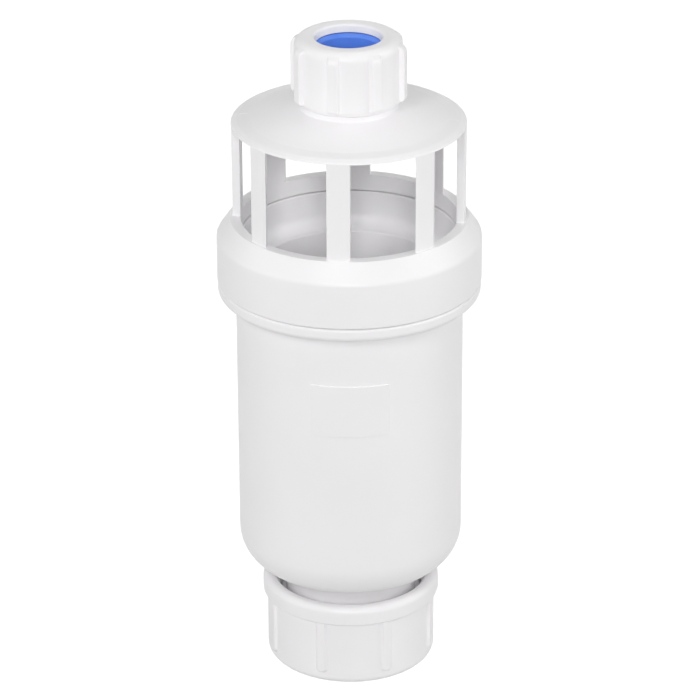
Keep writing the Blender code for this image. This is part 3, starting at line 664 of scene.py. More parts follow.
@dataclass
class BarredTurning:
    """A turned piece with openings between bars."""

    name: str
    rows: list[Row]
    plan: Bars
    least_radius: float
    most_radius: float
    windows: list[Window]
    edge: float
    bar_steps: int = 4
    gap_steps: int = 12

    def angles(self, row: Row) -> list[float]:
        """Give the angles of a row's points, from each bar's near side to the next bar.

        Args:
            row: The row.

        Returns:
            The angles from +X in radians.
        """
        radius = min(self.most_radius, max(self.least_radius, row.radius))
        spans = self.plan.spans(radius, row.bar)
        made: list[float] = []
        for k, (first, last) in enumerate(spans):
            after = spans[k + 1][0] if k + 1 < len(spans) else spans[0][0] + FULL_TURN
            made += [first + (last - first) * i / self.bar_steps for i in range(self.bar_steps)]
            made += [last + (after - last) * i / self.gap_steps for i in range(self.gap_steps)]
        return made

    def mesh(self) -> bpy.types.Mesh:
        """Build the mesh, with its openings' edges softened.

        Returns:
            The mesh.
        """
        bm = bmesh.new()
        sector_steps = self.bar_steps + self.gap_steps
        grid = []
        for row in self.rows:
            angles = self.angles(row)
            points = [(row.radius * math.cos(a), row.radius * math.sin(a), row.height) for a in angles]
            grid.append([bm.verts.new(point) for point in points])
        count = len(grid[0])
        place = {row.tag: i for i, row in enumerate(self.rows) if row.tag}
        open_rows = {place[tag] for window in self.windows for tag in (window.first, window.third)}
        in_gap = [j % sector_steps >= self.bar_steps for j in range(count)]
        for i, upper in enumerate(grid):
            lower = grid[(i + 1) % len(grid)]
            for j in range(count):
                k = (j + 1) % count
                if not (i in open_rows and in_gap[j]):
                    bm.faces.new((upper[j], lower[j], lower[k], upper[k]))
        soft: list[tuple[bmesh.types.BMVert, bmesh.types.BMVert]] = []
        for window in self.windows:
            first, second, third, fourth = (
                grid[place[tag]] for tag in (window.first, window.second, window.third, window.fourth)
            )
            for j in range(count):
                k = (j + 1) % count
                if in_gap[j]:
                    bm.faces.new((second[j], third[j], third[k], second[k]))
                    bm.faces.new((fourth[j], first[j], first[k], fourth[k]))
                    soft += [(ring[j], ring[k]) for ring in (first, third, fourth)]
                    if window.soft_second:
                        soft.append((second[j], second[k]))
                if in_gap[j] != in_gap[j - 1]:
                    bm.faces.new((first[j], second[j], third[j], fourth[j]))
                    soft += [(first[j], second[j]), (third[j], fourth[j])]
        bmesh.ops.recalc_face_normals(bm, faces=bm.faces)
        edges = [bm.edges.get(pair) for pair in soft]
        bmesh.ops.bevel(
            bm, geom=[edge for edge in edges if edge], offset=self.edge, segments=2,
            profile=0.5, affect="EDGES", clamp_overlap=True,
        )
        return released(bm, self.name)


@dataclass(frozen=True)
class ThreadForm:
    """Section of a thread's ridge, and its pitch."""

    height: float
    pitch: float
    base_width: float
    crest_width: float


INLET_THREAD = ThreadForm(0.00095, 0.0030, 0.0013, 0.0005)
OUTLET_THREAD = ThreadForm(0.0012, 0.0040, 0.0018, 0.0008)

# Bare ends of a threaded wall
THREAD_START, THREAD_END = 0.0014, 0.0010


@dataclass(frozen=True)
class ScrewThread:
    """A right-hand thread ridge that winds up a wall and fades out at both ends."""

    root: float
    form: ThreadForm
    bottom: float
    top: float
    facing: Facing
    sunk: float = 0.0003
    steps_a_turn: int = 64

    def mesh(self, name: str) -> bpy.types.Mesh:
        """Build the ridge as a closed mesh.

        Args:
            name: The mesh's name.

        Returns:
            The mesh.
        """
        form = self.form
        turns = (self.top - self.bottom) / form.pitch
        count = math.ceil(turns * self.steps_a_turn)
        side = self.facing.value
        phase = 0.5 if self.facing is Facing.INWARD else 0.0
        sections = []
        for i in range(count + 1):
            turn = turns * i / count
            fade = smooth_rise(min(turn, turns - turn) * 6)
            height = self.bottom + form.pitch * turn
            angle = FULL_TURN * (turn + phase)
            crest = self.root + side * (form.height * fade - self.sunk * 0.5 * (1 - fade))
            foot = self.root - side * self.sunk
            section = (
                (foot, form.base_width / 2), (crest, form.crest_width / 2),
                (crest, -form.crest_width / 2), (foot, -form.base_width / 2),
            )
            sections.append([(r * math.cos(angle), r * math.sin(angle), height + z) for r, z in section])
        return skin(name, sections)


@dataclass(frozen=True)
class PartingLine:
    """Fine ridge that the mould's joint leaves down a turned wall."""

    azimuth: float
    half_width: float = 0.00016
    proud: float = 0.00007
    sunk: float = 0.00005

    def mesh(self, name: str, rows: Sequence[Row]) -> bpy.types.Mesh:
        """Build the ridge as a closed strip.

        Args:
            name: The mesh's name.
            rows: The wall's rows that it follows, from the top down.

        Returns:
            The mesh.
        """
        angle = bearing(self.azimuth)
        out = Vector((math.cos(angle), math.sin(angle), 0.0))
        across = Vector((-math.sin(angle), math.cos(angle), 0.0))
        points = [Vector((row.radius, row.height)) for row in rows]
        sections = []
        for i, point in enumerate(points):
            along = (points[min(i + 1, len(points) - 1)] - points[max(i - 1, 0)]).normalized()
            normal = Vector((-along.y, along.x))
            if normal.dot(Vector((1.0, 0.2))) < 0:
                normal.negate()
            fade = smooth_rise(min(i, len(points) - 1 - i) / 2)
            section = ((-1, -self.sunk), (0, self.proud * fade), (1, -self.sunk), (0, -2 * self.sunk))
            spots = [(side, point + normal * lift) for side, lift in section]
            sections.append([
                out * spot.x + across * side * self.half_width + Vector((0, 0, spot.y))
                for side, spot in spots
            ])
        return skin(name, sections)


@dataclass
class Workshop:
    """Puts finished meshes in the scene: material, shading, body and the node that they stand for."""

    materials: dict[Slot, bpy.types.Material]
    made: list[bpy.types.Object] = field(default_factory=list)

    def place(
        self, mesh: bpy.types.Mesh, slot: Slot, rider: Rider, replaces: str = "", weighted: bool = True
    ) -> bpy.types.Object:
        """Add a piece.

        Args:
            mesh: Its mesh, in place.
            slot: Its material slot.
            rider: The body that it rides on.
            replaces: The CAD node that it stands for, if any.
            weighted: Whether flat faces keep flat shading beside their rounded edges.

        Returns:
            The piece's object.
        """
        mesh.materials.append(self.materials[slot])
        mesh.shade_smooth()
        mesh.set_sharp_from_angle(angle=SHARP_ANGLE)
        piece = put(mesh.name, mesh)
        if weighted:
            normals = piece.modifiers.new("FlatFaces", "WEIGHTED_NORMAL")
            normals.keep_sharp = True
        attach(piece, rider.value)
        if replaces:
            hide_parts(replaces)
        self.made.append(piece)
        LOG.info("%s: %d faces, on %s", piece.name, len(mesh.polygons), rider.value)
        return piece

    def turn(
        self, name: str, corners: Sequence[Corner], slot: Slot, rider: Rider, node: str, facets: int = 128
    ) -> None:
        """Turn a closed profile and place it.

        Args:
            name: The piece's name.
            corners: Its profile.
            slot: Its material slot.
            rider: The body that it rides on.
            node: The CAD node that it stands for.
            facets: How many facets go round it.
        """
        self.place(Turning(name, rounded_rows(corners), facets=facets).mesh(), slot, rider, node)

    def washer(
        self, name: str, inner: float, rounds: Sequence[float], slot: Slot, rider: Rider, node: str,
        facets: int,
    ) -> None:
        """Place a flat ring that fills its node's box.

        Args:
            name: The piece's name.
            inner: Radius of its hole.
            rounds: Roundings of its edges, from the upper inner one over the outer two.
            slot: Its material slot.
            rider: The body that it rides on.
            node: The CAD node that it stands for.
            facets: How many facets go round it.
        """
        low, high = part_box(node)
        places = ((inner, high.z), (high.x, high.z), (high.x, low.z), (inner, low.z))
        corners = [Corner(*place, edge) for place, edge in zip(places, rounds)]
        self.turn(name, corners, slot, rider, node, facets)

    def ribbed_nut(self, corners: Sequence[Corner], ribs: RibRing, rider: Rider) -> None:
        """Turn a nut with ribs round it and place it.

        Args:
            corners: The bare nut's profile.
            ribs: Its ribs.
            rider: The nut's body, which its node is named after.
        """
        rows = with_heights(rounded_rows(corners), ribs.face_radius - HAIR, ribs.heights())
        nut = Turning(rider.value + "_shell", rows, angles=ribs.angles(), wall=ribs.radius)
        self.place(nut.mesh(), Slot.WHITE, rider, rider.value)

    def thread(self, name: str, thread: ScrewThread, rider: Rider) -> None:
        """Place a screw thread's ridge."""
        self.place(thread.mesh(name), Slot.WHITE, rider, weighted=False)


@dataclass
class InletNut:
    """Upper compression nut: rounded crown, eight broad ribs, and the thread inside it."""

    hole: float = 0.0112
    hole_foot: float = 0.0108
    bore: float = 0.0154
    radius: float = 0.0179
    taper: float = 0.0006
    crown: float = 0.0034
    dish: float = 0.0005
    lip: float = 0.0032
    rib_foot: float = 0.0015
    rib_top: float = 0.0020
    thread_start: float = 0.0011
    thread_end: float = 0.0039

    def build(self, shop: Workshop) -> None:
        """Build the nut and its thread.

        Args:
            shop: Where the pieces are placed.
        """
        low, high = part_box("inlet_nut")
        bottom, top = low.z, high.z
        wall_foot = bottom + self.rib_foot
        corners = [
            Corner(self.hole, top - self.dish, 0.0009), Corner(self.radius, top, self.crown),
            Corner(self.radius, wall_foot, WIDE), Corner(self.radius - self.taper, bottom, FULL),
            Corner(self.bore + SOFT, bottom, FINE), Corner(self.bore, bottom + FULL),
            Corner(self.bore, top - self.lip, FINE), Corner(self.hole_foot, top - self.lip, FINE),
        ]
        ribs = RibRing(
            count=8, azimuth=-16.3, width=0.0037, proud=0.0016, foot=wall_foot - FINE,
            top=top - self.rib_top, side_run=0.0008, foot_run=0.0011, top_run=0.0034,
            face_radius=self.radius,
        )
        shop.ribbed_nut(corners, ribs, Rider.INLET_NUT)
        thread = ScrewThread(
            self.bore, INLET_THREAD, bottom + self.thread_start, top - self.lip - self.thread_end,
            Facing.INWARD,
        )
        shop.thread("inlet_nut_thread", thread, Rider.INLET_NUT)


@dataclass
class InletSeal:
    """Blue cone seal that shows in the inlet nut's hole."""

    bore: float = 0.0103
    chamfer: float = 0.0013
    flange: float = 0.0026
    cone_base: float = 0.0129
    cone_tip: float = 0.0119

    def build(self, shop: Workshop) -> None:
        """Build the seal.

        Args:
            shop: Where it is placed.
        """
        low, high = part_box("inlet_seal")
        tip, top = low.z, high.z
        outer = high.x
        corners = [
            Corner(self.bore + self.chamfer * 0.6, top, FINE), Corner(outer, top, EASED),
            Corner(outer, top - self.flange, EASED), Corner(self.cone_base, top - self.flange, FINE),
            Corner(self.cone_tip, tip, FINE), Corner(self.bore, tip, FINE),
            Corner(self.bore, top - self.chamfer, SOFT),
        ]
        shop.turn("inlet_seal_ring", corners, Slot.BLUE, Rider.INLET_SEAL, "inlet_seal")


@dataclass
class AirGapCage:
    """Cage moulding: inlet spigot and its thread, drip nozzle, roof, pillars, ring and collar."""

    radius: float = 0.0390
    bore: float = 0.0362
    pillar_width: float = 0.0077
    corner_pillar_from: float = 38.7
    corner_pillar_to: float = 50.0
    pull_azimuth: float = -5.3
    ring_depth: float = 0.0058
    window_height: float = 0.0334
    ledge: float = 0.0007
    shoulder_drop: float = 0.0072
    shoulder_round: float = 0.0026
    collar_bore: float = 0.0410
    thread_root: float = 0.0142
    socket: float = 0.0113
    socket_depth: float = 0.0152
    cone_height: float = 0.0030
    cone_base: float = 0.0132
    cone_tip: float = 0.0122
    boss_radius: float = 0.0164
    boss_height: float = 0.0019
    roof_rim: float = 0.0060
    roof_edge: float = 0.0020
    roof_shoulder: float = 0.0020
    roof_fall: float = 0.0015
    pillar_inset: float = 0.00015
    drip_bore: float = 0.0097
    drip_radius: float = 0.0120
    drip_drop: float = 0.0074
    roof_thickness: float = 0.0022
    snap_proud: float = 0.0006
    snap_drop: float = 0.0073
    snap_length: float = 0.0019
    snap_run: float = 0.0027
    shoulder_lift: float = 0.00085
    parting_run: float = 0.07

    def heights(self) -> dict[str, float]:
        """Work out the cage's heights from its neighbours in the frame.

        Returns:
            The heights of the carrier's top, window sill and head, roof rim, roof, and boss.
        """
        carrier_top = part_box("valve_carrier")[1].z
        sill = carrier_top + CLEARANCE + self.ring_depth
        head = sill + self.window_height
        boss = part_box("inlet_nut")[0].z - CLEARANCE
        roof = boss - self.boss_height
        return {
            "ring": carrier_top + CLEARANCE, "sill": sill, "head": head,
            "rim": head + self.roof_edge, "roof": roof, "boss": boss,
        }

    def corners(self) -> list[Corner]:
        """List the cage's profile, with its window rows named.

        Returns:
            The corners, down the outer side and up the inner side.
        """
        at = self.heights()
        low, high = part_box("air_gap_cage")
        collar, bottom, spigot = high.x, low.z, high.z
        shoulder = at["sill"] - self.shoulder_drop
        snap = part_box("body")[1].z - self.snap_drop
        groove = self.collar_bore + self.snap_proud
        half, pillar = self.pillar_width / 2, self.radius - self.pillar_inset
        drip = at["roof"] - self.drip_drop
        stop = spigot - self.socket_depth
        corners = [
            Corner(self.thread_root, spigot, FULL), Corner(self.thread_root, at["boss"], SOFT),
            Corner(self.boss_radius, at["boss"], SOFT), Corner(self.boss_radius, at["roof"], FULL),
            Corner(self.radius - self.roof_rim, at["rim"] - HAIR, 0.0050),
            Corner(self.radius - self.roof_shoulder, at["rim"] - FULL, 0.0022),
            Corner(self.radius, at["rim"] - self.roof_fall, 0.0007),
            Corner(self.radius, at["head"] + HAIR), Corner(pillar, at["head"], 0, "head_out"),
            Corner(pillar, at["sill"], 0, "sill_out"),
            Corner(self.radius + self.ledge, at["sill"], FINE),
            Corner(collar, shoulder + self.shoulder_lift, self.shoulder_round), Corner(collar, bottom, BOLD),
            Corner(self.collar_bore, bottom, EASED), Corner(self.collar_bore, snap - EASED),
            Corner(groove, snap + HAIR, HAIR), Corner(groove, snap + self.snap_length, HAIR),
            Corner(self.collar_bore, snap + self.snap_run), Corner(self.collar_bore, at["ring"], EASED),
            Corner(self.bore, at["ring"], EASED),
            Corner(self.bore, at["sill"], 0, "sill_in"), Corner(self.bore, at["head"], 0, "head_in"),
            Corner(self.bore, at["head"] + FULL, SOFT),
            Corner(self.drip_radius, at["roof"] - self.roof_thickness, BROAD),
            Corner(self.drip_radius - SOFT, drip, BOLD), Corner(self.drip_bore, drip, EASED),
            Corner(self.drip_bore, stop, EASED), Corner(self.socket, stop, EASED),
            Corner(self.socket, spigot - self.cone_height, FINE),
            Corner(self.cone_tip, spigot - self.cone_height, HAIR),
            Corner(self.cone_base, spigot, FINE),
        ]
        return [replace(corner, bar=half) for corner in corners]

    def build(self, shop: Workshop) -> None:
        """Build the cage and the inlet spigot's thread.

        Args:
            shop: Where the pieces are placed.
        """
        angles = (self.corner_pillar_from, self.corner_pillar_to)
        sides = tuple(self.radius * math.sin(math.radians(angle)) for angle in angles)
        cage = BarredTurning(
            "cage_shell", rounded_rows(self.corners()), Bars(self.pull_azimuth, sides), self.bore,
            self.radius,
            [Window("head_out", "sill_out", "sill_in", "head_in", False)], edge=0.00022,
        )
        shop.place(cage.mesh(), Slot.WHITE, Rider.HOUSING, "air_gap_cage")
        at = self.heights()
        self.build_parting_lines(shop, cage.rows, at["roof"] - EASED)
        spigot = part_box("air_gap_cage")[1].z
        thread = ScrewThread(
            self.thread_root, INLET_THREAD, at["boss"] + THREAD_START, spigot - THREAD_END, Facing.OUTWARD
        )
        shop.thread("inlet_spigot_thread", thread, Rider.HOUSING)

    def build_parting_lines(self, shop: Workshop, rows: Sequence[Row], top: float) -> None:
        """Build the mould's joint down both sides of the cage.

        Args:
            shop: Where the lines are placed.
            rows: The cage's rows, down its outer side first.
            top: Height that the lines start under, at the boss's foot.
        """
        outer = []
        foot = rows[0].height - self.parting_run
        for row, after in zip(rows, rows[1:]):
            if row.height < top:
                outer.append(row)
            if outer and after.radius < row.radius - HAIR and after.height < foot:
                break
        for name, side in (("parting_line_right", 90), ("parting_line_left", -90)):
            line = PartingLine(self.pull_azimuth + side)
            shop.place(line.mesh(name, outer), Slot.WHITE, Rider.HOUSING, weighted=False)


@dataclass
class ValveCarrier:
    """Cup inside the cage: flange, bowl, well, funnel, port and seat, with its O-ring."""

    rim_radius: float = 0.0407
    outer: float = 0.0379
    bore: float = 0.0355
    flange: float = 0.0016
    fillet: float = 0.0048
    depth: float = 0.0124
    well_radius: float = 0.0303
    well_draft: float = 0.0011
    well_depth: float = 0.0203
    well_wall: float = 0.0022
    funnel_depth: float = 0.0130
    port_radius: float = 0.0155
    port_wall: float = 0.0035
    skirt_tail: float = 0.0024
    snap_height: float = 0.0038
    snap_length: float = 0.0014
    snap_proud: float = 0.0006

    def build(self, shop: Workshop) -> None:
        """Build the cup and its O-ring.

        Args:
            shop: Where the pieces are placed.
        """
        low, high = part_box("valve_carrier")
        seat, top = low.z, high.z
        ring_low, ring_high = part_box("carrier_o_ring")
        ring = (ring_low.z + ring_high.z) / 2
        section = ring_high.z - ring_low.z
        groove = self.outer - section - CLEARANCE
        skirt = ring - self.skirt_tail
        shelf = top - self.depth
        funnel = shelf - self.well_depth
        port = funnel - self.funnel_depth
        foot = self.well_radius - self.well_draft
        outer_port = self.port_radius + self.port_wall
        slope = (foot - self.port_radius) / self.funnel_depth
        outer_foot = funnel - (foot + self.well_wall - outer_port) / slope
        catch_top = seat + self.snap_height
        catch_foot = catch_top - self.snap_length
        catch = outer_port - self.snap_proud
        corners = [
            Corner(self.bore, top, SOFT), Corner(self.rim_radius, top, EASED),
            Corner(self.rim_radius, top - self.flange, EASED), Corner(self.outer, top - self.flange, EASED),
            Corner(self.outer, ring + section / 2 + SOFT, FINE),
            Corner(groove, ring + section / 2 + SOFT, EASED),
            Corner(groove, ring - section / 2 - SOFT, EASED),
            Corner(self.outer, ring - section / 2 - SOFT, FINE), Corner(self.outer, skirt, SOFT),
            Corner(self.well_radius + self.well_wall, skirt, BROAD),
            Corner(foot + self.well_wall, funnel, 0.0020), Corner(outer_port, outer_foot, 0.0015),
            Corner(outer_port, catch_top), Corner(catch, catch_top - FINE),
            Corner(catch, catch_foot + FINE), Corner(outer_port, catch_foot),
            Corner(outer_port, seat, EASED), Corner(self.port_radius, seat, FULL),
            Corner(self.port_radius, port, 0.0010), Corner(foot, funnel, 0.0020),
            Corner(self.well_radius, shelf, BOLD), Corner(self.bore, shelf, self.fillet),
        ]
        shop.turn("carrier_cup", corners, Slot.WHITE, Rider.HOUSING, "valve_carrier", 160)
        self.build_ring(shop, ring, section)

    def build_ring(self, shop: Workshop, height: float, section: float) -> None:
        """Build the O-ring.

        Args:
            shop: Where it is placed.
            height: Height of its middle.
            section: Its thickness.
        """
        middle = self.outer - section / 2
        turns = [FULL_TURN * i / 16 for i in range(16)]
        rows = [
            Row(middle - section / 2 * math.cos(t), height + section / 2 * math.sin(t)) for t in turns
        ]
        ring = Turning("o_ring", rows, facets=144)
        shop.place(ring.mesh(), Slot.BLACK, Rider.HOUSING, "carrier_o_ring", weighted=False)


@dataclass
class BowlBody:
    """Body moulding: rim, bead, bowl with a rounded bottom, neck and threaded outlet spigot."""

    radius: float = 0.0382
    wall: float = 0.0026
    corner: float = 0.0134
    neck_gap: float = 0.0051
    neck_radius: float = 0.0224
    bead_height: float = 0.0046
    bead_round: float = 0.0020
    bead_cove: float = 0.0012
    rim_radius: float = 0.0407
    rim_bore: float = 0.0382
    rim_height: float = 0.0143
    snap_height: float = 0.0070
    snap_length: float = 0.0020
    snap_proud: float = 0.0006
    thread_root: float = 0.0242
    thread_length: float = 0.0145
    socket: float = 0.0183
    socket_depth: float = 0.0185
    throat: float = 0.0163
    cone_height: float = 0.0050
    cone_base: float = 0.0219
    cone_tip: float = 0.0200
    panel_width: float = 0.0265
    panel_bottom: float = 0.0993
    panel_top: float = 0.1177
    panel_proud: float = 0.00045
    panel_sunk: float = 0.0006
    panel_round: float = 0.0014
    panel_bevel: float = 0.00012
    panel_inset: float = 0.00016
    panel_step: float = 0.0008

    def build(self, shop: Workshop) -> None:
        """Build the body, its thread and the bare raised panel on its front.

        Args:
            shop: Where the pieces are placed.
        """
        low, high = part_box("body")
        spigot, rim_top, bead = low.z, high.z, high.x
        top = rim_top - self.rim_height
        bead_foot = top - self.bead_height
        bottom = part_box("outlet_nut")[1].z + self.neck_gap
        snap = top + self.snap_height
        snap_top = snap + self.snap_length
        snap_r = self.rim_radius + self.snap_proud
        thread_top = spigot + self.thread_length
        stop = spigot + self.socket_depth
        floor = bottom + self.wall
        bore = self.radius - self.wall
        step = bead_foot - self.bead_cove + self.wall * math.tan(math.pi / 8)
        corners = [
            Corner(self.rim_bore, rim_top, EASED), Corner(self.rim_radius, rim_top, SOFT),
            Corner(self.rim_radius, snap_top + SOFT), Corner(snap_r, snap_top - SOFT, EASED),
            Corner(snap_r, snap + SOFT, FINE), Corner(self.rim_radius, snap),
            Corner(self.rim_radius, top, EASED), Corner(bead, top, 0.0009),
            Corner(bead, bead_foot, self.bead_round), Corner(self.radius, bead_foot, self.bead_cove),
            Corner(self.radius, bottom, self.corner), Corner(self.neck_radius, bottom, WIDE),
            Corner(self.neck_radius, thread_top, SOFT), Corner(self.thread_root, thread_top, BOLD),
            Corner(self.thread_root, spigot, BOLD), Corner(self.cone_base, spigot, FINE),
            Corner(self.cone_tip, spigot + self.cone_height), Corner(self.socket, spigot + self.cone_height),
            Corner(self.socket, stop, EASED), Corner(self.throat, stop, SOFT),
            Corner(self.throat, floor, WIDE), Corner(bore, floor, self.corner - self.wall),
            Corner(bore, step, BROAD), Corner(self.rim_bore, step + self.rim_bore - bore, BROAD),
        ]
        shop.turn("body_shell", corners, Slot.WHITE, Rider.HOUSING, "body", 160)
        thread = ScrewThread(
            self.thread_root, OUTLET_THREAD, spigot + THREAD_START, thread_top - THREAD_END, Facing.OUTWARD
        )
        shop.thread("outlet_spigot_thread", thread, Rider.HOUSING)
        shop.place(self.panel_mesh(), Slot.WHITE, Rider.HOUSING)

    def panel_mesh(self) -> bpy.types.Mesh:
        """Build the bare raised panel, curved with the wall and softened at its edges.

        Returns:
            The mesh.
        """
        half = self.panel_width / 2
        corners = [
            Corner(-half, self.panel_top, EASED), Corner(half, self.panel_top, EASED),
            Corner(half, self.panel_bottom, self.panel_round),
            Corner(-half, self.panel_bottom, self.panel_round),
        ]
        outline = [(row.radius, row.height) for row in rounded_rows(corners)]
        spread: list[tuple[float, float]] = []
        for i, (x, z) in enumerate(outline):
            ahead = outline[(i + 1) % len(outline)]
            steps = max(1, round(abs(ahead[0] - x) / self.panel_step))
            spread += [
                (x + (ahead[0] - x) * k / steps, z + (ahead[1] - z) * k / steps) for k in range(steps)
            ]
        bm = bmesh.new()
        levels = (
            (-self.panel_sunk, 0.0), (self.panel_proud - self.panel_bevel, 0.0),
            (self.panel_proud, self.panel_inset),
        )
        rings = []
        middle_z = (self.panel_top + self.panel_bottom) / 2
        for lift, inset in levels:
            ring = []
            for x, z in spread:
                x_in = math.copysign(max(0.0, abs(x) - inset), x)
                z_in = middle_z + math.copysign(max(0.0, abs(z - middle_z) - inset), z - middle_z)
                ring.append(self.on_wall(bm, x_in, z_in, lift))
            rings.append(ring)
        for lower, upper in zip(rings, rings[1:]):
            bridge(bm, lower, upper)
        for ring in (rings[0], rings[-1]):
            self.fill(bm, ring, middle_z)
        bmesh.ops.recalc_face_normals(bm, faces=bm.faces)
        return released(bm, "front_panel")

    def on_wall(self, bm: bmesh.types.BMesh, x: float, z: float, lift: float) -> bmesh.types.BMVert:
        """Add a point on the body's wall.

        Args:
            bm: The mesh.
            x: Distance round the wall from its front, in metres.
            z: Height.
            lift: Height above the wall.

        Returns:
            The new vertex.
        """
        angle = x / self.radius - math.pi / 2
        radius = self.radius + lift
        return bm.verts.new((radius * math.cos(angle), radius * math.sin(angle), z))

    def fill(self, bm: bmesh.types.BMesh, ring: list[bmesh.types.BMVert], middle: float) -> None:
        """Close a ring of the panel with upright strips that follow the wall's curve.

        Args:
            bm: The mesh.
            ring: The ring's points, in order.
            middle: Height between its top and bottom.
        """
        uppers = sorted((v for v in ring if v.co.z > middle), key=lambda v: v.co.x)
        lowers = sorted((v for v in ring if v.co.z <= middle), key=lambda v: v.co.x)
        i = j = 0
        while i < len(uppers) - 1 or j < len(lowers) - 1:
            step_upper = j == len(lowers) - 1 or (
                i < len(uppers) - 1 and uppers[i + 1].co.x <= lowers[j + 1].co.x
            )
            if step_upper:
                bm.faces.new((uppers[i], uppers[i + 1], lowers[j]))
                i += 1
            else:
                bm.faces.new((uppers[i], lowers[j + 1], lowers[j]))
                j += 1


@dataclass
class OutletNut:
    """Lower compression nut, the foot: bead, eight slim ribs, rounded bottom edge and its thread."""

    hole: float = 0.0183
    bore: float = 0.0259
    radius: float = 0.0289
    lip: float = 0.0030
    foot_round: float = 0.0026
    bead_proud: float = 0.0015
    bead_height: float = 0.0068
    bead_round: float = 0.0024
    lead_in: float = 0.0020
    thread_foot: float = 0.0097

    def build(self, shop: Workshop) -> None:
        """Build the nut and its thread.

        Args:
            shop: Where the pieces are placed.
        """
        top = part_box("outlet_nut")[1].z
        bead = self.radius + self.bead_proud
        crease = top - self.bead_height
        corners = [
            Corner(self.bore, top - self.lead_in), Corner(self.bore + SOFT, top, 0.0013),
            Corner(bead, top, self.bead_round), Corner(bead, crease, BROAD),
            Corner(self.radius, crease, BOLD), Corner(self.radius, 0, self.foot_round),
            Corner(self.hole, 0, SOFT), Corner(self.hole, self.lip, FINE),
            Corner(self.bore, self.lip, EASED),
        ]
        ribs = RibRing(
            count=8, azimuth=-20.5, width=0.0034, proud=0.0010, foot=0.0042, top=crease + 0.0030,
            side_run=0.0010, top_run=0.0001, face_radius=self.radius, round_foot=True,
        )
        shop.ribbed_nut(corners, ribs, Rider.OUTLET_NUT)
        thread = ScrewThread(
            self.bore, OUTLET_THREAD, self.thread_foot, top - self.lead_in - THREAD_END, Facing.INWARD
        )
        shop.thread("outlet_nut_thread", thread, Rider.OUTLET_NUT)


@dataclass
class OutletSeals:
    """Slip washer and cone seal inside the outlet nut."""

    pipe_hole: float = 0.0183
    seal_bore: float = 0.01795
    flange: float = 0.0030
    cone_base: float = 0.0216
    cone_tip: float = 0.0197

    def build(self, shop: Workshop) -> None:
        """Build the washer and the seal.

        Args:
            shop: Where the pieces are placed.
        """
        shop.washer(
            "slip_washer", self.pipe_hole, (FINE,) * 4, Slot.ACETAL, Rider.OUTLET_SEALS,
            "outlet_slip_washer", 128,
        )
        low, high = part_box("outlet_seal")
        flange_top = low.z + self.flange
        seal = [
            Corner(self.seal_bore, high.z, EASED), Corner(self.cone_tip, high.z, EASED),
            Corner(self.cone_base, flange_top, EASED), Corner(high.x, flange_top, EASED),
            Corner(high.x, low.z, EASED), Corner(self.seal_bore, low.z, EASED),
        ]
        shop.turn("outlet_seal_ring", seal, Slot.BLACK, Rider.OUTLET_SEALS, "outlet_seal")


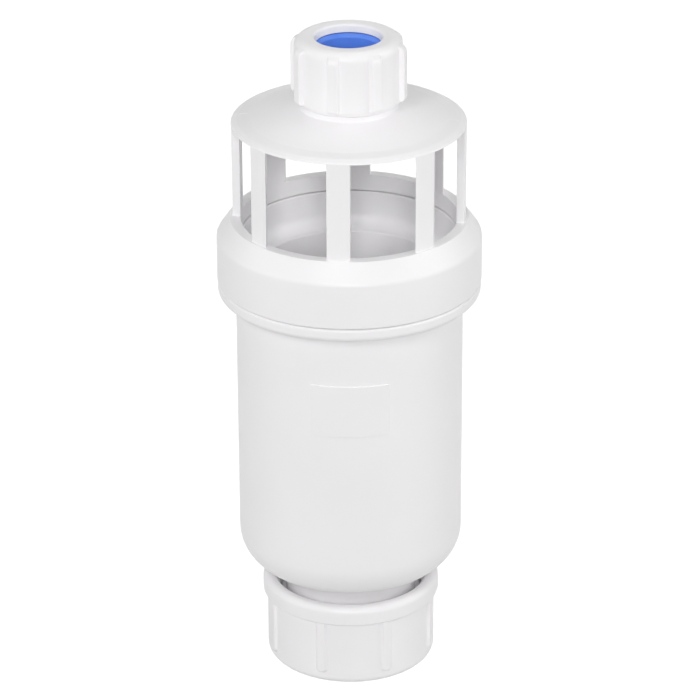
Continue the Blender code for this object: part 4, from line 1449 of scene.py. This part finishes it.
@dataclass
class SprungValve:
    """Mushroom valve with its soft washer and clip, and the spring that closes it."""

    stem: float = 0.0024
    neck: float = 0.0031
    knob: float = 0.0048
    knob_height: float = 0.0029
    knob_shoulder: float = 0.0017
    plate: float = 0.0024
    locator: float = 0.0050
    locator_height: float = 0.0018
    clip_groove: float = 0.0007
    wire: float = 0.0007
    spring_radius: float = 0.0062
    working_turns: int = 4
    steps_a_turn: int = 40
    sides: int = 10
    solid_share: float = 0.57

    def build(self, shop: Workshop) -> None:
        """Build the valve's pieces and its spring.

        Args:
            shop: Where the pieces are placed.
        """
        self.build_disc(shop)
        shop.washer(
            "valve_washer", self.neck + CLEARANCE, (FINE, BOLD, EASED, FINE), Slot.SILICONE,
            Rider.VALVE, "valve_seal", 96,
        )
        shop.washer(
            "valve_clip", self.stem - self.clip_groove + CLEARANCE, (HAIR, EASED, EASED, HAIR),
            Slot.ACETAL, Rider.VALVE, "stem_clip", 72,
        )
        self.build_spring(shop)

    def build_disc(self, shop: Workshop) -> None:
        """Build the mushroom, with its stem's groove for the clip.

        Args:
            shop: Where it is placed.
        """
        low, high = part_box("valve_disc")
        outer = high.x
        seal_low, seal_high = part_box("valve_seal")
        plate_top = seal_low.z - CLEARANCE
        plate_foot = plate_top - self.plate
        neck_top = seal_high.z + CLEARANCE
        locator = plate_foot - self.locator_height
        clip_low, clip_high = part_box("stem_clip")
        groove = self.stem - self.clip_groove
        corners = [
            Corner(0, high.z), Corner(self.knob - self.knob_shoulder, high.z, BROAD),
            Corner(self.knob, neck_top + self.knob_height / 2, 0.0010), Corner(self.knob, neck_top, EASED),
            Corner(self.neck, neck_top, HAIR), Corner(self.neck, plate_top, FINE),
            Corner(outer, plate_top, FULL), Corner(outer, plate_foot, BOLD),
            Corner(self.locator, plate_foot, SOFT), Corner(self.locator, locator, SOFT),
            Corner(self.stem, locator, BOLD), Corner(self.stem, clip_high.z + CLEARANCE / 2),
            Corner(groove, clip_high.z + CLEARANCE / 2), Corner(groove, clip_low.z - CLEARANCE),
            Corner(self.stem, clip_low.z - CLEARANCE), Corner(self.stem, low.z, BOLD), Corner(0, low.z),
        ]
        disc = Turning("valve_mushroom", rounded_rows(corners, closed=False), facets=96, closed=False)
        shop.place(disc.mesh(), Slot.ACETAL, Rider.VALVE, "valve_disc")

    def build_spring(self, shop: Workshop) -> None:
        """Build the spring as one fixed coil; the real one shortens as the valve opens.

        Args:
            shop: Where it is placed.
        """
        low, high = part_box("valve_spring")
        radius = self.wire / 2
        bottom, top = low.z + radius, high.z - radius
        rise = self.wire * 1.2
        turns = self.working_turns + 2
        steps, sides = self.steps_a_turn * turns, self.sides
        sections = []
        for i in range(steps + 1):
            turn = turns * i / steps
            active = min(max(turn - 1, 0), self.working_turns) / self.working_turns
            ends = min(turn, 1) + max(turn - 1 - self.working_turns, 0)
            height = bottom + ends * rise + active * (top - bottom - 2 * rise)
            angle = FULL_TURN * turn
            section = []
            for k in range(sides):
                around = FULL_TURN * k / sides
                out = self.spring_radius + radius * math.cos(around)
                lift = radius * math.sin(around)
                section.append((out * math.cos(angle), out * math.sin(angle), height + lift))
            sections.append(section)
        spring = shop.place(
            skin("closing_spring", sections), Slot.WIRE, Rider.HOUSING, "valve_spring", weighted=False
        )
        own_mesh(spring)


@dataclass
class ValveGuide:
    """Basket that snaps on the carrier's port and carries the spring and the stem."""

    port_radius: float = 0.0190
    ring_wall: float = 0.0025
    inner: float = 0.0226
    wall: float = 0.0020
    floor: float = 0.0022
    hub: float = 0.0079
    rim: float = 0.0020
    leg: float = 0.0060
    arm: float = 0.0040
    leg_azimuth: float = 45.0
    window_drop: float = 0.0062
    window_sill: float = 0.0023
    stem: float = 0.0024
    bush_wall: float = 0.0027
    bush_drop: float = 0.0060
    snap_height: float = 0.0038
    snap_length: float = 0.0014
    snap_proud: float = 0.0006

    def build(self, shop: Workshop) -> None:
        """Build the basket with its side windows and spoked floor.

        Args:
            shop: Where it is placed.
        """
        low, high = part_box("valve_guide")
        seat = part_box("valve_carrier")[0].z
        bush_foot, top = low.z, high.z
        bottom = bush_foot + self.bush_drop
        spring_seat = bottom + self.floor
        ring = self.port_radius + CLEARANCE
        ring_outer = ring + self.ring_wall
        outer = self.inner + self.wall
        bush = self.stem + CLEARANCE
        bush_outer = bush + self.bush_wall
        head, sill = seat - self.window_drop, spring_seat + self.window_sill
        bead_top = seat + self.snap_height - CLEARANCE
        bead_foot = seat + self.snap_height - self.snap_length + CLEARANCE
        bead = ring - self.snap_proud + CLEARANCE / 2
        leg, arm = self.leg / 2, self.arm / 2
        edge = self.inner - self.rim
        corners = [
            Corner(ring, top, SOFT), Corner(ring_outer, top, SOFT),
            Corner(ring_outer, seat + CLEARANCE, BROAD), Corner(outer, seat - self.wall, 0.0010),
            Corner(outer, head, 0, "head_out"), Corner(outer, sill, 0, "sill_out"),
            Corner(outer, bottom, FULL), Corner(edge, bottom, 0, "rim_under"),
            Corner(self.hub, bottom, 0, "hub_under"), Corner(bush_outer, bottom, BOLD),
            Corner(bush_outer, bush_foot, SOFT), Corner(bush, bush_foot, EASED),
            Corner(bush, spring_seat, EASED), Corner(self.hub, spring_seat, 0, "hub_over"),
            Corner(edge, spring_seat, 0, "rim_over"), Corner(self.inner, spring_seat, FULL),
            Corner(self.inner, sill, 0, "sill_in"), Corner(self.inner, head, 0, "head_in"),
            Corner(self.inner, seat - self.wall - CLEARANCE, BROAD),
            Corner(ring, seat - CLEARANCE, EASED), Corner(ring, bead_foot),
            Corner(bead, bead_foot + FINE), Corner(bead, bead_top - FINE), Corner(ring, bead_top),
        ]
        corners = [
            replace(spot, bar=arm if spot.radius <= edge and spot.height <= spring_seat else leg)
            for spot in corners
        ]
        basket = BarredTurning(
            "guide_basket", rounded_rows(corners), Bars(self.leg_azimuth), self.hub, outer,
            [
                Window("head_out", "sill_out", "sill_in", "head_in"),
                Window("rim_under", "hub_under", "hub_over", "rim_over"),
            ],
            edge=FINE, gap_steps=24,
        )
        shop.place(basket.mesh(), Slot.ACETAL, Rider.HOUSING, "valve_guide")


@dataclass
class Studio:
    """Pale floor, soft lamps and the camera at the photograph's angle."""

    camera_distance: float = 1.2904
    camera_pitch: float = 24.757
    camera_roll: float = -0.004
    camera_side: float = 0.00008
    aim_height: float = 0.11354
    lens: float = 195.91
    sensor: float = 36.0
    world_strength: float = 0.13
    floor_half: float = 6.0
    floor_drop: float = 0.0001
    floor_grey: float = 0.6
    floor_roughness: float = 0.9
    floor_glow: float = 0.78
    lamp_aim: float = 0.12

    def build(self) -> None:
        """Build the floor, the world, the lamps and the camera."""
        self.build_floor()
        self.build_world()
        self.add_lamp("key_lamp", (-0.59, -1.62, 1.33), 0.5, 8.8)
        self.add_lamp("front_lamp", (0.0, -1.9, 0.95), 0.4, 12.8)
        self.add_lamp("top_lamp", (0.0, 0.0, 1.6), 1.4, 4.4)
        self.add_lamp("left_lamp", (-1.5, -0.2, 0.8), 1.2, 6.5)
        self.add_lamp("right_lamp", (1.5, -0.2, 0.8), 1.2, 10.3)
        self.build_camera()
        settings = bpy.context.scene.view_settings
        settings.view_transform = "Standard"

    def build_floor(self) -> None:
        """Build the floor, whose own colour reaches white and which keeps the shadow."""
        mesh = bpy.data.meshes.new("studio_floor")
        half, grey = self.floor_half, self.floor_grey
        verts = [(-half, -half, 0), (half, -half, 0), (half, half, 0), (-half, half, 0)]
        mesh.from_pydata(verts, [], [(0, 1, 2, 3)])
        floor = put("studio_floor", mesh)
        floor.location.z = -self.floor_drop
        material = bpy.data.materials.new("studio_paper")
        material.use_nodes = True
        nodes, links = material.node_tree.nodes, material.node_tree.links
        shader = nodes["Principled BSDF"]
        shader.inputs["Base Color"].default_value = (grey, grey, grey, 1.0)
        shader.inputs["Roughness"].default_value = self.floor_roughness
        shader.inputs["Emission Color"].default_value = (1.0, 1.0, 1.0, 1.0)
        seen = self.seen_directly(nodes, links)
        lift = nodes.new("ShaderNodeMath")
        lift.operation = "MULTIPLY"
        lift.inputs[1].default_value = self.floor_glow
        links.new(seen, lift.inputs[0])
        links.new(lift.outputs[0], shader.inputs["Emission Strength"])
        mesh.materials.append(material)

    def seen_directly(
        self, nodes: bpy.types.Nodes, links: bpy.types.NodeLinks
    ) -> bpy.types.NodeSocket:
        """Give 1 for rays of the camera, reflections and transmission, and 0 for others.

        Args:
            nodes: Nodes of the material or world.
            links: Its links.

        Returns:
            The socket with the value.
        """
        path = nodes.new("ShaderNodeLightPath")
        seen = path.outputs["Is Camera Ray"]
        for ray in ("Is Glossy Ray", "Is Transmission Ray"):
            either = nodes.new("ShaderNodeMath")
            either.operation = "MAXIMUM"
            links.new(seen, either.inputs[0])
            links.new(path.outputs[ray], either.inputs[1])
            seen = either.outputs[0]
        return seen

    def build_world(self) -> None:
        """Light the scene evenly from all round, with white behind it."""
        world = bpy.data.worlds.new("studio_air")
        world.use_nodes = True
        bpy.context.scene.world = world
        nodes, links = world.node_tree.nodes, world.node_tree.links
        background = nodes["Background"]
        background.inputs["Color"].default_value = (1.0, 1.0, 1.0, 1.0)
        seen = self.seen_directly(nodes, links)
        mix = nodes.new("ShaderNodeMapRange")
        mix.inputs["To Min"].default_value = self.world_strength
        mix.inputs["To Max"].default_value = 1.0
        links.new(seen, mix.inputs["Value"])
        links.new(mix.outputs["Result"], background.inputs["Strength"])

    def add_lamp(self, name: str, place: tuple[float, float, float], size: float, power: float) -> None:
        """Add a square lamp that faces the fitting.

        Args:
            name: The lamp's name.
            place: Where it stands.
            size: Length of its side, in metres.
            power: Power in watts.
        """
        lamp = bpy.data.lights.new(name, "AREA")
        lamp.shape = "SQUARE"
        lamp.size = size
        lamp.energy = power
        holder = put(name, lamp)
        holder.location = place
        aim = Vector((0, 0, self.lamp_aim)) - Vector(place)
        holder.rotation_euler = aim.to_track_quat("-Z", "Y").to_euler()

    def build_camera(self) -> None:
        """Set the camera where the photograph was taken from."""
        lens = bpy.data.cameras.new("photo_camera")
        lens.lens = self.lens
        lens.sensor_width = self.sensor
        lens.clip_start, lens.clip_end = 0.05, 40.0
        camera = put("photo_camera", lens)
        pitch = math.radians(self.camera_pitch)
        reach = Vector((0, -math.cos(pitch), math.sin(pitch))) * self.camera_distance
        camera.location = Vector((self.camera_side, 0, self.aim_height)) + reach
        upright = (-reach).to_track_quat("-Z", "Y")
        camera.rotation_euler = (upright @ Quaternion((0, 0, 1), self.camera_roll)).to_euler()
        bpy.context.scene.camera = camera


def main() -> None:
    """Load the frame, build each sub-assembly on it, and set up the studio."""
    logging.basicConfig(level=logging.INFO, format="%(name)s: %(message)s")
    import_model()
    shop = Workshop(Palette().materials())
    assemblies = (
        OutletNut(), OutletSeals(), BowlBody(), ValveCarrier(), ValveGuide(), SprungValve(),
        AirGapCage(), InletSeal(), InletNut(),
    )
    for assembly in assemblies:
        LOG.info("building %s", type(assembly).__name__)
        assembly.build(shop)
    Studio().build()
    LOG.info("%d pieces built", len(shop.made))


if __name__ == "__main__":
    main()
